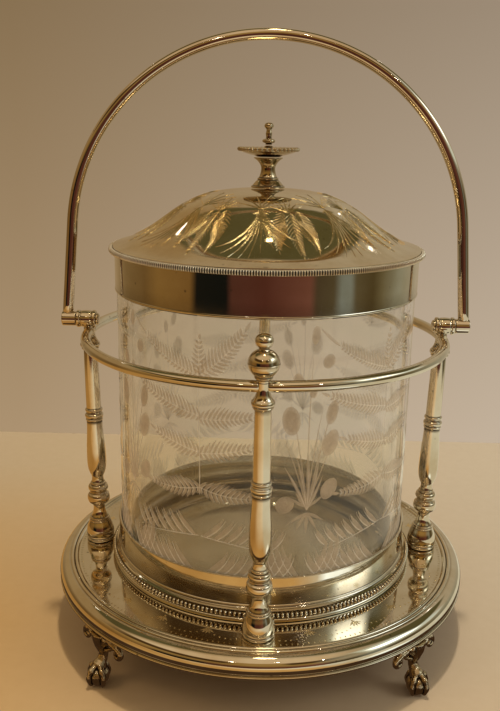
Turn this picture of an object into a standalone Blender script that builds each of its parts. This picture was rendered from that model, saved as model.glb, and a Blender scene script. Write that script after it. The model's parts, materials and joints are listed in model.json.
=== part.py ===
"""A biscuit barrel: a lidded glass jar that stands in a footed, plated frame with a swing handle.

Metres, +Z up. The origin is on the ground at the jar's axis. The handle swings about an axis along X.
Turned pieces are given by outlines of (radius, height) that run down their outer side.
"""
import math

import bmesh
import bpy
from mathutils import Matrix, Vector

# Clearances
GAP = 0.0003                  # between neighbouring pieces
MERGE = 0.00001               # weld distance
OVERRUN = 0.002               # how far a cutter runs past what it cuts

# Base plate and its border
PLATE_TOP = 0.0319
SHEET = 0.0012
PLATE_MARGIN = 0.0018         # from the columns' feet out to the plate's edge
BORDER_DEPTH = 0.0086
REED_WIDTH = 0.00185
REED_RISE = 0.0006
OVOLO_RADIUS = 0.0046
LIP_RADIUS = 0.0009

# Gallery that holds the jar, with heights above the plate
GALLERY_CLEARANCE = 0.0004
GALLERY_WALL = 0.0011
GALLERY_HEIGHT = 0.0182
GALLERY_SPREAD = 0.0021       # from the band out to the middle of the bead wire
GALLERY_FOOT_HEIGHT = 0.0017
BEAD_WIRE_RADIUS = 0.0011
COVE_HEIGHT = 0.0014
ROLL_RISE = 0.0004

# Columns, with heights above the plate
COLUMN_CLEARANCE = 0.0004     # from the bead wire to the columns' widest turning
COLUMN_LEAN_DEGREES = 1.2     # outward lean
COLUMN_RADIUS = 0.0064        # widest turning
COLUMN_HEIGHT = 0.1013
NECK_RADIUS = 0.00245
STUD_RADIUS = 0.0015
NUT_RADIUS = 0.0034
NUT_HEIGHT = 0.0024
STUD_PROUD = 0.0005
FINIAL_RADIUS = 0.00575
FINIAL_HEIGHT = 0.0173

# Rail between the columns
RAIL_RADIUS = 0.00215
RAIL_DROP = 0.0015            # from the columns' tops down to the rail's middle

# Claw-and-ball feet, with insets from the border's edge and drops from the feet's tops
BALL_INSET = 0.0009
BALL_RADIUS = 0.0046
BALL_FLAT = 0.0004
TALON_RADIUS = 0.00115
ANKLE_INSET = 0.0034
ANKLE_DROP = 0.0105
ANKLE_RADIUS = 0.0018
KNEE_INSET = 0.0036
KNEE_DROP = 0.0058
KNEE_RADIUS = 0.0027
BRACKET_RADIUS = 0.0045
WING_INSET = 0.0025
WING_SPAN = 0.0128
WING_RADIUS = 0.0020
WING_DROP = 0.0011
POST_INSET = 0.0060
POST_RADIUS = 0.0016

# Handle and its pivots
PIVOT_RISE = 0.0038           # from the columns' tops up to the handle's axis
BARREL_RADIUS = 0.0038
BARREL_LENGTH = 0.0083
BARREL_INSET = 0.0032         # from the column's axis to the barrel's inner end
HEAD_CUP_RADIUS = 0.0039
PIN_RADIUS = 0.0016
PIN_HEAD_RADIUS = 0.0026
PIN_HEAD_LENGTH = 0.0011
EYE_RADIUS = 0.0032
EYE_LENGTH = 0.0061
EDGE_BEVEL = 0.0004
BOW_RADIUS = 0.00235
BOW_RISE = 0.1182             # from the pivots to the middle of the top
BOW_SPLAY_DEGREES = 5.0

# Jar
GLASS_RADIUS = 0.0635
GLASS_WALL = 0.0040
GLASS_FLOOR = 0.0060
GLASS_BEVEL = 0.0018
FLOOR_FILLET = 0.0030
GLASS_HEIGHT = 0.1338
GLASS_RIM_STEP = 0.0021       # the glass is thinner inside its collar
COLLAR_OVERHANG = 0.0007      # from the glass out to the collar's face
COLLAR_WALL = 0.0006
COLLAR_DROP = 0.0131          # below the glass rim
COLLAR_RISE = 0.0042          # above the glass rim

# Lid
DOME_OVERHANG = 0.0007        # from the collar out to the dome's edge
DOME_RISE = 0.0235
DOME_WALL = 0.0012
DOME_EDGE = 0.0008
DOME_SEAT = 0.0040
RIM_WIDTH = 0.0014
RIM_HEIGHT = 0.0021
RIM_DROP = 0.0016
RIM_ROUND = 0.0004
BEZEL_CLEARANCE = 0.0006
BEZEL_WALL = 0.0010
BEZEL_DEPTH = 0.0060          # below the dome's edge
STEM_RADIUS = 0.0071
STEM_HEIGHT = 0.0123
DISC_FINIAL_RADIUS = 0.01305
DISC_FINIAL_HEIGHT = 0.0045
KNOB_RADIUS = 0.0027
KNOB_HEIGHT = 0.0089

# Facets
RING_STEPS = 48
SMALL_RING_STEPS = 32
TURNED_STEPS = 12
CROSS_STEPS = 16
DISC_STEPS = 20
BALL_STEPS = 12
BALL_RINGS = 8
NUT_SIDES = 6
TUBE_RESOLUTION = 2
SHARP_DEGREES = 40.0
BOW_ARC_STEPS = 20
RAIL_ARC_STEPS = 7

# Shares of COLUMN_RADIUS and COLUMN_HEIGHT, from the neck's top down to the foot
COLUMN_SHARES = (
    (0.383, 0.960), (0.530, 0.942), (0.672, 0.928), (0.620, 0.916), (0.500, 0.905), (0.461, 0.894),
    (0.516, 0.640), (0.516, 0.628), (0.600, 0.618), (0.625, 0.602), (0.547, 0.586), (0.563, 0.563),
    (0.672, 0.405), (0.640, 0.355), (0.516, 0.322), (0.406, 0.302), (0.422, 0.284), (0.703, 0.259),
    (0.610, 0.237), (0.790, 0.202), (0.610, 0.180), (0.422, 0.158), (0.516, 0.118), (0.766, 0.084),
    (1.000, 0.034), (0.969, 0.000))
# Shares of FINIAL_RADIUS and FINIAL_HEIGHT, from the top down to the neck
BALL_FINIAL_SHARES = (
    (0.000, 1.000), (0.348, 0.965), (0.557, 0.880), (0.557, 0.810), (0.400, 0.728), (0.330, 0.688),
    (0.522, 0.653), (0.870, 0.538), (1.000, 0.405), (1.000, 0.358), (0.870, 0.220), (0.600, 0.110),
    (0.426, 0.046), (0.426, 0.000))
# Shares of DOME_RADIUS and DOME_RISE, from the middle out to the edge
DOME_SHARES = (
    (0.140, 0.996), (0.262, 0.970), (0.385, 0.902), (0.493, 0.787), (0.586, 0.643),
    (0.678, 0.460), (0.770, 0.281), (0.863, 0.140), (0.940, 0.047), (1.000, 0.000))
# Shares of STEM_RADIUS and STEM_HEIGHT, from the flange down to the base
STEM_SHARES = (
    (0.845, 1.000), (0.845, 0.940), (0.700, 0.903), (0.535, 0.805), (0.423, 0.700), (0.437, 0.577),
    (0.507, 0.406), (0.600, 0.309), (0.718, 0.211), (0.901, 0.073), (1.000, 0.000))
# Shares of DISC_FINIAL_RADIUS and DISC_FINIAL_HEIGHT
DISC_FINIAL_SHARES = (
    (0.000, 1.000), (0.138, 0.956), (0.200, 0.800), (0.905, 0.844), (1.000, 0.755), (1.000, 0.578),
    (0.920, 0.467), (0.383, 0.000))
# Shares of KNOB_RADIUS and KNOB_HEIGHT
KNOB_SHARES = (
    (0.000, 1.000), (0.519, 0.944), (0.722, 0.843), (0.519, 0.719), (0.407, 0.640), (0.426, 0.303),
    (1.000, 0.225), (1.000, 0.101), (0.481, 0.056), (0.481, 0.000))
# How far round the ball a talon's points lie, and how thick it is there
TALON_SHARES = ((0.0, 1.0), (0.35, 1.05), (0.7, 0.85), (1.0, 0.5))
TALON_DEGREES = (-78.0, 0.0, 78.0)
TALON_START_DEGREES = 68.0
TALON_END_DEGREES = -46.0
# A bracket's wing from the knee to its scrolled tip: reach, drop and thickness
WING_SHARES = ((0.0, 0.0, 1.2), (0.3, 0.1, 1.1), (0.62, 0.5, 0.75), (0.82, 0.9, 0.85), (1.0, 0.7, 1.15))

COLUMN_TURNS = {"front": -90, "right": 0, "back": 90, "left": 180}
FOOT_TURNS = {"front_left": -135, "front_right": -45, "back_right": 45, "back_left": 135}
RAIL_TURNS = {"front_right": -90, "back_right": 0, "back_left": 90, "front_left": 180}
SIDES = {"left": -1, "right": 1}

# Places worked out from the sizes above
PLATE_BOTTOM = PLATE_TOP - SHEET
GALLERY_INNER = GLASS_RADIUS + GALLERY_CLEARANCE
GALLERY_OUTER = GALLERY_INNER + GALLERY_WALL
BEAD_CIRCLE = GALLERY_OUTER + GALLERY_SPREAD
COLUMN_CIRCLE = BEAD_CIRCLE + BEAD_WIRE_RADIUS + COLUMN_CLEARANCE + COLUMN_RADIUS
DISC_RADIUS = COLUMN_CIRCLE + COLUMN_RADIUS + PLATE_MARGIN
BORDER_INNER = DISC_RADIUS + GAP
OVOLO_CIRCLE = BORDER_INNER + 2 * REED_WIDTH
BORDER_RADIUS = OVOLO_CIRCLE + OVOLO_RADIUS
GLASS_BOTTOM = PLATE_TOP + GAP
GLASS_INNER = GLASS_RADIUS - GLASS_WALL
GLASS_RIM_RADIUS = GLASS_RADIUS - GLASS_RIM_STEP
GLASS_RIM_TOP = GLASS_BOTTOM + GLASS_HEIGHT
COLLAR_RADIUS = GLASS_RADIUS + COLLAR_OVERHANG
COLLAR_BOTTOM = GLASS_RIM_TOP - COLLAR_DROP
COLLAR_TOP = GLASS_RIM_TOP + COLLAR_RISE
DOME_RADIUS = COLLAR_RADIUS + DOME_OVERHANG
DOME_BOTTOM = COLLAR_TOP + GAP
BEZEL_BOTTOM = DOME_BOTTOM - BEZEL_DEPTH
DOME_EDGE_TOP = DOME_BOTTOM + DOME_EDGE
DOME_TOP = DOME_EDGE_TOP + DOME_RISE
STUD_HOLE = STUD_RADIUS + GAP
STUD_LENGTH = SHEET + 2 * GAP + NUT_HEIGHT + STUD_PROUD
COLUMN_LEAN = math.radians(COLUMN_LEAN_DEGREES)
COLUMN_FOOT = PLATE_TOP + GAP
COLUMN_TOP = COLUMN_FOOT + COLUMN_HEIGHT
RAIL_HEIGHT = COLUMN_TOP - RAIL_DROP
RAIL_CIRCLE = COLUMN_CIRCLE + (COLUMN_HEIGHT - RAIL_DROP) * math.tan(COLUMN_LEAN)
PIVOT_HEIGHT = COLUMN_TOP + PIVOT_RISE
HEAD_CIRCLE = COLUMN_CIRCLE + (COLUMN_HEIGHT + PIVOT_RISE) * math.tan(COLUMN_LEAN)
BARREL_INNER_END = HEAD_CIRCLE - BARREL_INSET
BARREL_OUTER_END = BARREL_INNER_END + BARREL_LENGTH
EYE_INNER_END = BARREL_OUTER_END + GAP
EYE_OUTER_END = EYE_INNER_END + EYE_LENGTH
BOW_SPAN = EYE_OUTER_END - BOW_RADIUS
LIP_BOTTOM = PLATE_TOP - BORDER_DEPTH
FOOT_TOP = LIP_BOTTOM - GAP
ANKLE_HEIGHT = FOOT_TOP - ANKLE_DROP
KNEE_HEIGHT = FOOT_TOP - KNEE_DROP
BALL_HEIGHT = BALL_RADIUS - BALL_FLAT
BALL_CIRCLE = BORDER_RADIUS - BALL_INSET
WING_CIRCLE = BORDER_RADIUS - WING_INSET


def clear_scene():
    for old in list(bpy.data.objects):
        bpy.data.objects.remove(old)


def new_collection(name):
    group = bpy.data.collections.new(name)
    bpy.context.scene.collection.children.link(group)
    return group


def finish(name, colour, roughness, metallic=0.0, transmission=0.0):
    material = bpy.data.materials.new(name + "_finish")
    material.use_nodes = True
    shader = material.node_tree.nodes["Principled BSDF"]
    shader.inputs["Base Color"].default_value = (*colour, 1.0)
    shader.inputs["Roughness"].default_value = roughness
    shader.inputs["Metallic"].default_value = metallic
    shader.inputs["Transmission Weight"].default_value = transmission
    return material


def plated(name):
    return finish(name, (0.80, 0.74, 0.64), 0.12, metallic=1.0)


def clear_glass(name):
    return finish(name, (0.93, 0.95, 0.92), 0.02, transmission=1.0)


def plaster(name):
    return finish(name, (0.86, 0.84, 0.79), 0.9)


def add_object(name, data, group, look=plated):
    piece = bpy.data.objects.new(name, data)
    group.objects.link(piece)
    if group is not CUTTERS:
        piece.data.materials.append(look(name))
    else:
        piece.hide_render = True
        piece.display_type = "WIRE"
    return piece


def turned(name, outline, steps, group, look=plated, closed=False):
    """A body of revolution. A closed outline is a ring; an open one starts and ends on the axis."""
    mesh = bpy.data.meshes.new(name)
    edges = [(i, i + 1) for i in range(len(outline) - 1)]
    if closed:
        edges.append((len(outline) - 1, 0))
    mesh.from_pydata([(radius, 0.0, height) for radius, height in outline], edges, [])
    piece = add_object(name, mesh, group, look)
    screw = piece.modifiers.new("Turn", "SCREW")
    screw.steps = steps
    screw.render_steps = steps
    screw.use_merge_vertices = True
    screw.merge_threshold = MERGE
    screw.use_smooth_shade = True
    return piece


def primitive(name, group, look, make, **sizes):
    """An object from one of Blender's primitives, shaded smooth between its sharp edges."""
    mesh = bpy.data.meshes.new(name)
    shape = bmesh.new()
    make(shape, **sizes)
    shape.to_mesh(mesh)
    shape.free()
    mesh.shade_smooth()
    mesh.set_sharp_from_angle(angle=math.radians(SHARP_DEGREES))
    return add_object(name, mesh, group, look)


def cylinder(name, radius, start, end, sides, group, look=plated):
    """A closed cylinder along Z between two heights."""
    middle = Matrix.Translation((0.0, 0.0, (start + end) / 2))
    return primitive(name, group, look, bmesh.ops.create_cone, cap_ends=True, segments=sides,
                     radius1=radius, radius2=radius, depth=end - start, matrix=middle)


def ball(name, radius, centre, group, look=plated):
    return primitive(name, group, look, bmesh.ops.create_uvsphere, u_segments=BALL_STEPS,
                     v_segments=BALL_RINGS, radius=radius, matrix=Matrix.Translation(centre))


def bevelled(piece, width):
    step = piece.modifiers.new("Bevel", "BEVEL")
    step.width = width
    step.segments = 1
    step.limit_method = "ANGLE"
    step.angle_limit = math.radians(SHARP_DEGREES)
    return piece


def boolean(piece, other, operation="DIFFERENCE"):
    step = piece.modifiers.new("Boolean", "BOOLEAN")
    step.operation = operation
    step.object = other
    step.solver = "EXACT"


def tube(name, points, radius, group, look=plated, shares=None):
    """A round wire through the points, with closed ends and, if given, its own taper."""
    curve = bpy.data.curves.new(name, "CURVE")
    curve.dimensions = "3D"
    curve.bevel_depth = radius
    curve.bevel_resolution = TUBE_RESOLUTION
    curve.use_fill_caps = True
    spline = curve.splines.new("POLY")
    spline.points.add(len(points) - 1)
    for i, point in enumerate(points):
        spline.points[i].co = (*point, 1.0)
        spline.points[i].radius = shares[i] if shares else 1.0
    return add_object(name, curve, group, look)


def evaluated_mesh(piece, name):
    bpy.context.view_layer.update()
    graph = bpy.context.evaluated_depsgraph_get()
    mesh = bpy.data.meshes.new_from_object(piece.evaluated_get(graph))
    mesh.name = name
    shape = bmesh.new()
    shape.from_mesh(mesh)
    bmesh.ops.remove_doubles(shape, verts=shape.verts, dist=MERGE)
    shape.to_mesh(mesh)
    shape.free()
    return mesh


def as_mesh(piece, group, look=plated):
    """Replace a curve by the mesh that it makes, so that it can be cut."""
    name = piece.name
    mesh = evaluated_mesh(piece, name)
    place = piece.matrix_world.copy()
    bpy.data.objects.remove(piece)
    mesh.materials.clear()
    solid = add_object(name, mesh, group, look)
    solid.matrix_world = place
    return solid


def stood_at(name, degrees):
    """An empty at a column's foot, turned to face out and leaning with the column."""
    spot = bpy.data.objects.new(name, None)
    PARTS.objects.link(spot)
    spot.location = stood_spot(degrees)
    spot.location.z = COLUMN_FOOT
    spot.rotation_euler = (0.0, COLUMN_LEAN, math.radians(degrees))
    return spot


def stood_spot(degrees):
    angle = math.radians(degrees)
    return (COLUMN_CIRCLE * math.cos(angle), COLUMN_CIRCLE * math.sin(angle), 0.0)


def arc(centre, radius, angles):
    return [(centre[0] + radius * math.cos(math.radians(a)),
             centre[1] + radius * math.sin(math.radians(a))) for a in angles]


def scaled(shares, radius, height, base):
    return [(r * radius, base + h * height) for r, h in shares]


def build_plate():
    plate = cylinder("base_plate", DISC_RADIUS, PLATE_BOTTOM, PLATE_TOP, RING_STEPS, PARTS)
    for side, turn in COLUMN_TURNS.items():
        hole = cylinder("stud_hole_" + side, STUD_HOLE, PLATE_BOTTOM - OVERRUN, PLATE_TOP + OVERRUN,
                        TURNED_STEPS, CUTTERS)
        hole.location = stood_spot(turn)
        boolean(plate, hole)
    inner = BORDER_INNER
    middle = OVOLO_CIRCLE
    heart = (middle, PLATE_TOP - OVOLO_RADIUS)
    outline = [(inner, PLATE_TOP), (inner + REED_WIDTH / 2, PLATE_TOP + REED_RISE),
               (inner + REED_WIDTH, PLATE_TOP), (middle - REED_WIDTH / 2, PLATE_TOP + REED_RISE),
               (middle, PLATE_TOP)]
    outline += arc(heart, OVOLO_RADIUS, (65, 40, 15, -10, -30))
    lip = (BORDER_RADIUS - LIP_RADIUS, LIP_BOTTOM + LIP_RADIUS)
    outline += arc(lip, LIP_RADIUS, (30, -30, -90))
    outline.append((lip[0] - LIP_RADIUS, lip[1] - LIP_RADIUS))
    outline += arc(heart, OVOLO_RADIUS - SHEET, (-30, 30, 90))
    outline.append((inner, PLATE_BOTTOM))
    turned("plate_border", outline, RING_STEPS, PARTS, closed=True)


def build_gallery():
    inner = GALLERY_INNER
    outer = GALLERY_OUTER
    wire_circle = BEAD_CIRCLE
    foot_top = PLATE_TOP + GALLERY_FOOT_HEIGHT
    foot_outer = wire_circle + BEAD_WIRE_RADIUS / 2
    turned("gallery_foot", [(inner, foot_top), (wire_circle, foot_top), (foot_outer, PLATE_TOP + GAP),
                            (inner, PLATE_TOP + GAP)], RING_STEPS, PARTS, closed=True)
    wire_height = foot_top + GAP + BEAD_WIRE_RADIUS
    turned("gallery_bead_wire", arc((wire_circle, wire_height), BEAD_WIRE_RADIUS,
                                    (90, 30, -30, -90, -150, -210)), RING_STEPS, PARTS, closed=True)
    shelf = wire_height + BEAD_WIRE_RADIUS + GAP
    roll = shelf + COVE_HEIGHT
    sleeve = wire_circle - BEAD_WIRE_RADIUS - GAP
    turned("gallery_band", [
        (inner, PLATE_TOP + GALLERY_HEIGHT), (outer, PLATE_TOP + GALLERY_HEIGHT),
        (outer, roll + ROLL_RISE), (outer + ROLL_RISE, roll), (outer, roll - ROLL_RISE),
        (outer + ROLL_RISE, shelf + ROLL_RISE), (wire_circle - BEAD_WIRE_RADIUS / 2, shelf),
        (sleeve, shelf), (sleeve, foot_top + GAP), (inner, foot_top + GAP)],
        RING_STEPS, PARTS, closed=True)


def column_outline():
    top = [(0.0, COLUMN_HEIGHT), (NECK_RADIUS, COLUMN_HEIGHT)]
    turnings = scaled(COLUMN_SHARES, COLUMN_RADIUS, COLUMN_HEIGHT, 0.0)
    stud = [(STUD_RADIUS, 0.0), (STUD_RADIUS, -STUD_LENGTH), (0.0, -STUD_LENGTH)]
    return top + turnings + stud


def nut(name, place, top):
    piece = cylinder(name, NUT_RADIUS, top - NUT_HEIGHT, top, NUT_SIDES, PARTS)
    piece.location = place
    bore = cylinder(name + "_bore", STUD_HOLE, top - NUT_HEIGHT - OVERRUN, top + OVERRUN, TURNED_STEPS,
                    CUTTERS)
    bore.location = place
    boolean(piece, bore)


def build_columns():
    necks = {}
    rail_middle = COLUMN_HEIGHT - RAIL_DROP
    finial_foot = COLUMN_HEIGHT + GAP
    for side, turn in COLUMN_TURNS.items():
        spot = stood_at("column_axis_" + side, turn)
        column = turned("column_" + side, column_outline(), TURNED_STEPS, PARTS)
        column.parent = spot
        nut("column_nut_" + side, stood_spot(turn), PLATE_BOTTOM - GAP)
        neck = cylinder("neck_space_" + side, NECK_RADIUS + GAP, rail_middle - RAIL_RADIUS - OVERRUN,
                        rail_middle + RAIL_RADIUS + OVERRUN, CROSS_STEPS, CUTTERS)
        neck.parent = spot
        necks[turn % 360] = neck
        if side in SIDES:
            continue
        outline = scaled(BALL_FINIAL_SHARES, FINIAL_RADIUS, FINIAL_HEIGHT, finial_foot)
        finial = turned("ball_finial_" + side, outline + [(0.0, finial_foot)], TURNED_STEPS, PARTS)
        finial.parent = spot
    return necks


def build_rails(necks):
    """Four quarter rails, each cut back to the necks that it runs between."""
    for side, turn in RAIL_TURNS.items():
        angles = [turn + 90 * i / RAIL_ARC_STEPS for i in range(RAIL_ARC_STEPS + 1)]
        points = [(x, y, RAIL_HEIGHT) for x, y in arc((0.0, 0.0), RAIL_CIRCLE, angles)]
        rail = as_mesh(tube("rail_" + side, points, RAIL_RADIUS, PARTS), PARTS)
        boolean(rail, necks[turn % 360])
        boolean(rail, necks[(turn + 90) % 360])


def ball_point(turn, tilt, radius):
    """A point round the ball of a foot, with +X outward."""
    level = radius * math.cos(tilt)
    return Vector((BALL_CIRCLE + level * math.cos(turn), level * math.sin(turn),
                   BALL_HEIGHT + radius * math.sin(tilt)))


def shank():
    """The leg, from the bracket under the lip down into the ball."""
    knee = (BORDER_RADIUS - KNEE_INSET, 0.0, KNEE_HEIGHT)
    ankle = (BORDER_RADIUS - ANKLE_INSET, 0.0, ANKLE_HEIGHT)
    path = [(WING_CIRCLE, 0.0, FOOT_TOP + OVERRUN), (WING_CIRCLE, 0.0, FOOT_TOP - OVERRUN / 2), knee, ankle,
            ball_point(0.0, math.pi / 2, BALL_RADIUS), ball_point(0.0, 0.0, 0.0)]
    thickness = [BRACKET_RADIUS, BRACKET_RADIUS, KNEE_RADIUS, ANKLE_RADIUS, KNEE_RADIUS, KNEE_RADIUS]
    return tube("shank", path, 1.0, CUTTERS, shares=thickness)


def talon(degrees):
    start = math.radians(TALON_START_DEGREES)
    reach = math.radians(TALON_END_DEGREES) - start
    path = [ball_point(math.radians(degrees), start + share * reach, BALL_RADIUS)
            for share, thick in TALON_SHARES]
    return tube("talon", path, TALON_RADIUS, CUTTERS, shares=[thick for share, thick in TALON_SHARES])


def wing(way):
    """One arm of the bracket, bent along the lip and ending in a scroll."""
    path = []
    for reach, drop, thick in WING_SHARES:
        turn = way * reach * WING_SPAN / WING_CIRCLE
        path.append((WING_CIRCLE * math.cos(turn), WING_CIRCLE * math.sin(turn),
                     FOOT_TOP - WING_RADIUS - drop * WING_DROP))
    return tube("wing", path, WING_RADIUS, CUTTERS, shares=[thick for reach, drop, thick in WING_SHARES])


def build_feet():
    body = ball("ball", BALL_RADIUS, ball_point(0.0, 0.0, 0.0), CUTTERS)
    joined = [as_mesh(shank(), CUTTERS)]
    joined += [as_mesh(talon(degrees), CUTTERS) for degrees in TALON_DEGREES]
    joined += [as_mesh(wing(way), CUTTERS) for way in (-1, 1)]
    room = BRACKET_RADIUS + WING_SPAN + OVERRUN
    ground = cylinder("ground", room, -room, 0.0, TURNED_STEPS, CUTTERS)
    ceiling = cylinder("ceiling", room, FOOT_TOP, FOOT_TOP + room, TURNED_STEPS, CUTTERS)
    post = cylinder("post", POST_RADIUS, FOOT_TOP - OVERRUN, PLATE_BOTTOM - GAP, TURNED_STEPS, CUTTERS)
    ground.location.x = WING_CIRCLE
    ceiling.location.x = WING_CIRCLE
    post.location.x = BORDER_RADIUS - POST_INSET
    for other in joined:
        boolean(body, other, "UNION")
    boolean(body, ground)
    boolean(body, ceiling)
    boolean(body, post, "UNION")
    mesh = evaluated_mesh(body, "foot")
    for piece in [body, ground, ceiling, post] + joined:
        bpy.data.objects.remove(piece)
    for side, turn in FOOT_TURNS.items():
        foot = add_object("foot_" + side, mesh.copy(), PARTS)
        foot.rotation_euler.z = math.radians(turn)


def cross_cylinder(name, radius, start, end, side, group):
    """A cylinder on the handle's axis, between two distances from the jar's axis."""
    piece = cylinder(name, radius, start, end, CROSS_STEPS, group)
    piece.rotation_euler = (0.0, side * math.pi / 2, 0.0)
    piece.location = (0.0, 0.0, PIVOT_HEIGHT)
    return piece


def build_pivot_head(name, side, bore):
    """The cup on a side column, joined to the barrel that the pin runs through."""
    foot = COLUMN_HEIGHT + GAP
    axis = COLUMN_HEIGHT + PIVOT_RISE
    flare = (axis - foot) / 3
    cup = turned("pivot_head_" + name, [
        (0.0, axis), (HEAD_CUP_RADIUS, axis), (HEAD_CUP_RADIUS, foot + 2 * flare),
        (NECK_RADIUS, foot + flare), (NECK_RADIUS, foot), (0.0, foot)], TURNED_STEPS, PARTS)
    cup.parent = stood_at("head_axis_" + name, COLUMN_TURNS[name])
    barrel = cross_cylinder("barrel_" + name, BARREL_RADIUS, BARREL_INNER_END, BARREL_OUTER_END, side,
                            CUTTERS)
    bevelled(barrel, EDGE_BEVEL)
    trims = [cross_cylinder("inner_trim_" + name, 2 * BARREL_RADIUS, BARREL_INNER_END - BARREL_LENGTH,
                            BARREL_INNER_END, side, CUTTERS),
             cross_cylinder("outer_trim_" + name, 2 * BARREL_RADIUS, BARREL_OUTER_END,
                            BARREL_OUTER_END + BARREL_LENGTH, side, CUTTERS)]
    boolean(cup, barrel, "UNION")
    for cutter in trims + [bore]:
        boolean(cup, cutter)


def build_pivots():
    """The heads on the side columns, their pins and the eyes of the handle."""
    handle_axis = bpy.data.objects.new("handle_axis", None)
    handle_axis.location = (0.0, 0.0, PIVOT_HEIGHT)
    PARTS.objects.link(handle_axis)
    head_end = BARREL_INNER_END - GAP
    for name, side in SIDES.items():
        bore = cross_cylinder("pin_bore_" + name, PIN_RADIUS + GAP, BARREL_INNER_END - OVERRUN,
                              EYE_OUTER_END + OVERRUN, side, CUTTERS)
        build_pivot_head(name, side, bore)
        pin = cross_cylinder("pivot_pin_" + name, PIN_RADIUS, head_end - PIN_HEAD_LENGTH, EYE_OUTER_END,
                             side, PARTS)
        pin_head = cross_cylinder("pin_head_" + name, PIN_HEAD_RADIUS, head_end - PIN_HEAD_LENGTH,
                                  head_end, side, CUTTERS)
        boolean(pin, pin_head, "UNION")
        eye = cylinder("handle_eye_" + name, EYE_RADIUS, EYE_INNER_END, EYE_OUTER_END, CROSS_STEPS, PARTS)
        eye.parent = handle_axis
        eye.rotation_euler = (0.0, side * math.pi / 2, 0.0)
        bevelled(eye, EDGE_BEVEL)
        boolean(eye, bore)
    return handle_axis


def bow_points():
    """The hoop's middle line: two splayed legs and the arc that they are tangent to."""
    splay = math.radians(BOW_SPLAY_DEGREES)
    radius = (BOW_SPAN - BOW_RISE * math.tan(splay)) / (1 / math.cos(splay) - math.tan(splay))
    centre = BOW_RISE - radius
    sweep = 180 - 2 * BOW_SPLAY_DEGREES
    angles = [BOW_SPLAY_DEGREES + sweep * i / BOW_ARC_STEPS for i in range(BOW_ARC_STEPS + 1)]
    points = [(BOW_SPAN, 0.0)] + arc((0.0, centre), radius, angles) + [(-BOW_SPAN, 0.0)]
    return [(x, 0.0, PIVOT_HEIGHT + z) for x, z in points]


def build_handle(handle_axis):
    bow = as_mesh(tube("handle_bow", bow_points(), BOW_RADIUS, PARTS), PARTS)
    for name, side in SIDES.items():
        space = cross_cylinder("eye_space_" + name, EYE_RADIUS + GAP, EYE_INNER_END - OVERRUN,
                               EYE_OUTER_END + OVERRUN, side, CUTTERS)
        boolean(bow, space)
    bow.parent = handle_axis
    bow.matrix_parent_inverse = Matrix.Translation((0.0, 0.0, -PIVOT_HEIGHT))


def build_jar():
    neck = COLLAR_BOTTOM + GAP
    floor = GLASS_BOTTOM + GLASS_FLOOR
    turned("glass_jar", [
        (0.0, floor), (GLASS_INNER - FLOOR_FILLET, floor), (GLASS_INNER, floor + FLOOR_FILLET),
        (GLASS_INNER, GLASS_RIM_TOP), (GLASS_RIM_RADIUS, GLASS_RIM_TOP), (GLASS_RIM_RADIUS, neck),
        (GLASS_RADIUS, COLLAR_BOTTOM - GAP), (GLASS_RADIUS, GLASS_BOTTOM + GLASS_BEVEL),
        (GLASS_RADIUS - GLASS_BEVEL, GLASS_BOTTOM), (0.0, GLASS_BOTTOM)],
        RING_STEPS, PARTS, clear_glass)
    inner = COLLAR_RADIUS - COLLAR_WALL
    turned("jar_collar", [(inner, COLLAR_TOP), (COLLAR_RADIUS, COLLAR_TOP), (COLLAR_RADIUS, COLLAR_BOTTOM),
                          (inner, COLLAR_BOTTOM)], RING_STEPS, PARTS, closed=True)
    turned("collar_plaster", [
        (GLASS_RIM_RADIUS + GAP, GLASS_RIM_TOP), (inner - GAP, GLASS_RIM_TOP), (inner - GAP, neck + GAP),
        (GLASS_RIM_RADIUS + GAP, neck + GAP)], SMALL_RING_STEPS, PARTS, plaster, closed=True)


def dome_underside(radius, underside):
    """Height of the dome's inner face at a radius."""
    for (r1, z1), (r2, z2) in zip(underside, underside[1:]):
        if r1 <= radius <= r2:
            return z1 + (z2 - z1) * (radius - r1) / (r2 - r1)
    return DOME_BOTTOM


def build_lid():
    outside = scaled(DOME_SHARES, DOME_RADIUS, DOME_RISE, DOME_EDGE_TOP)
    outside.insert(0, (STUD_HOLE, DOME_TOP))
    seat = DOME_RADIUS - DOME_SEAT
    underside = [(r, z - DOME_WALL) for r, z in outside[::2] if r < seat] + [(seat, DOME_BOTTOM)]
    outline = outside + [(DOME_RADIUS, DOME_BOTTOM)] + underside[::-1]
    turned("lid_dome", outline, RING_STEPS, PARTS, closed=True)
    rim_inner = DOME_RADIUS + GAP
    rim_outer = rim_inner + RIM_WIDTH
    rim_bottom = DOME_BOTTOM - RIM_DROP
    rim_top = rim_bottom + RIM_HEIGHT
    turned("lid_reeded_rim", [
        (rim_inner, rim_top), (rim_outer - RIM_ROUND, rim_top), (rim_outer, rim_top - RIM_ROUND),
        (rim_outer, rim_bottom + RIM_ROUND), (rim_outer - RIM_ROUND, rim_bottom), (rim_inner, rim_bottom)],
        RING_STEPS, PARTS, closed=True)
    bezel_outer = GLASS_INNER - BEZEL_CLEARANCE
    bezel_inner = bezel_outer - BEZEL_WALL
    bezel_top = dome_underside(bezel_outer, underside) - GAP
    turned("lid_bezel", [(bezel_inner, bezel_top), (bezel_outer, bezel_top), (bezel_outer, BEZEL_BOTTOM),
                         (bezel_inner, BEZEL_BOTTOM)], SMALL_RING_STEPS, PARTS, closed=True)


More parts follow.
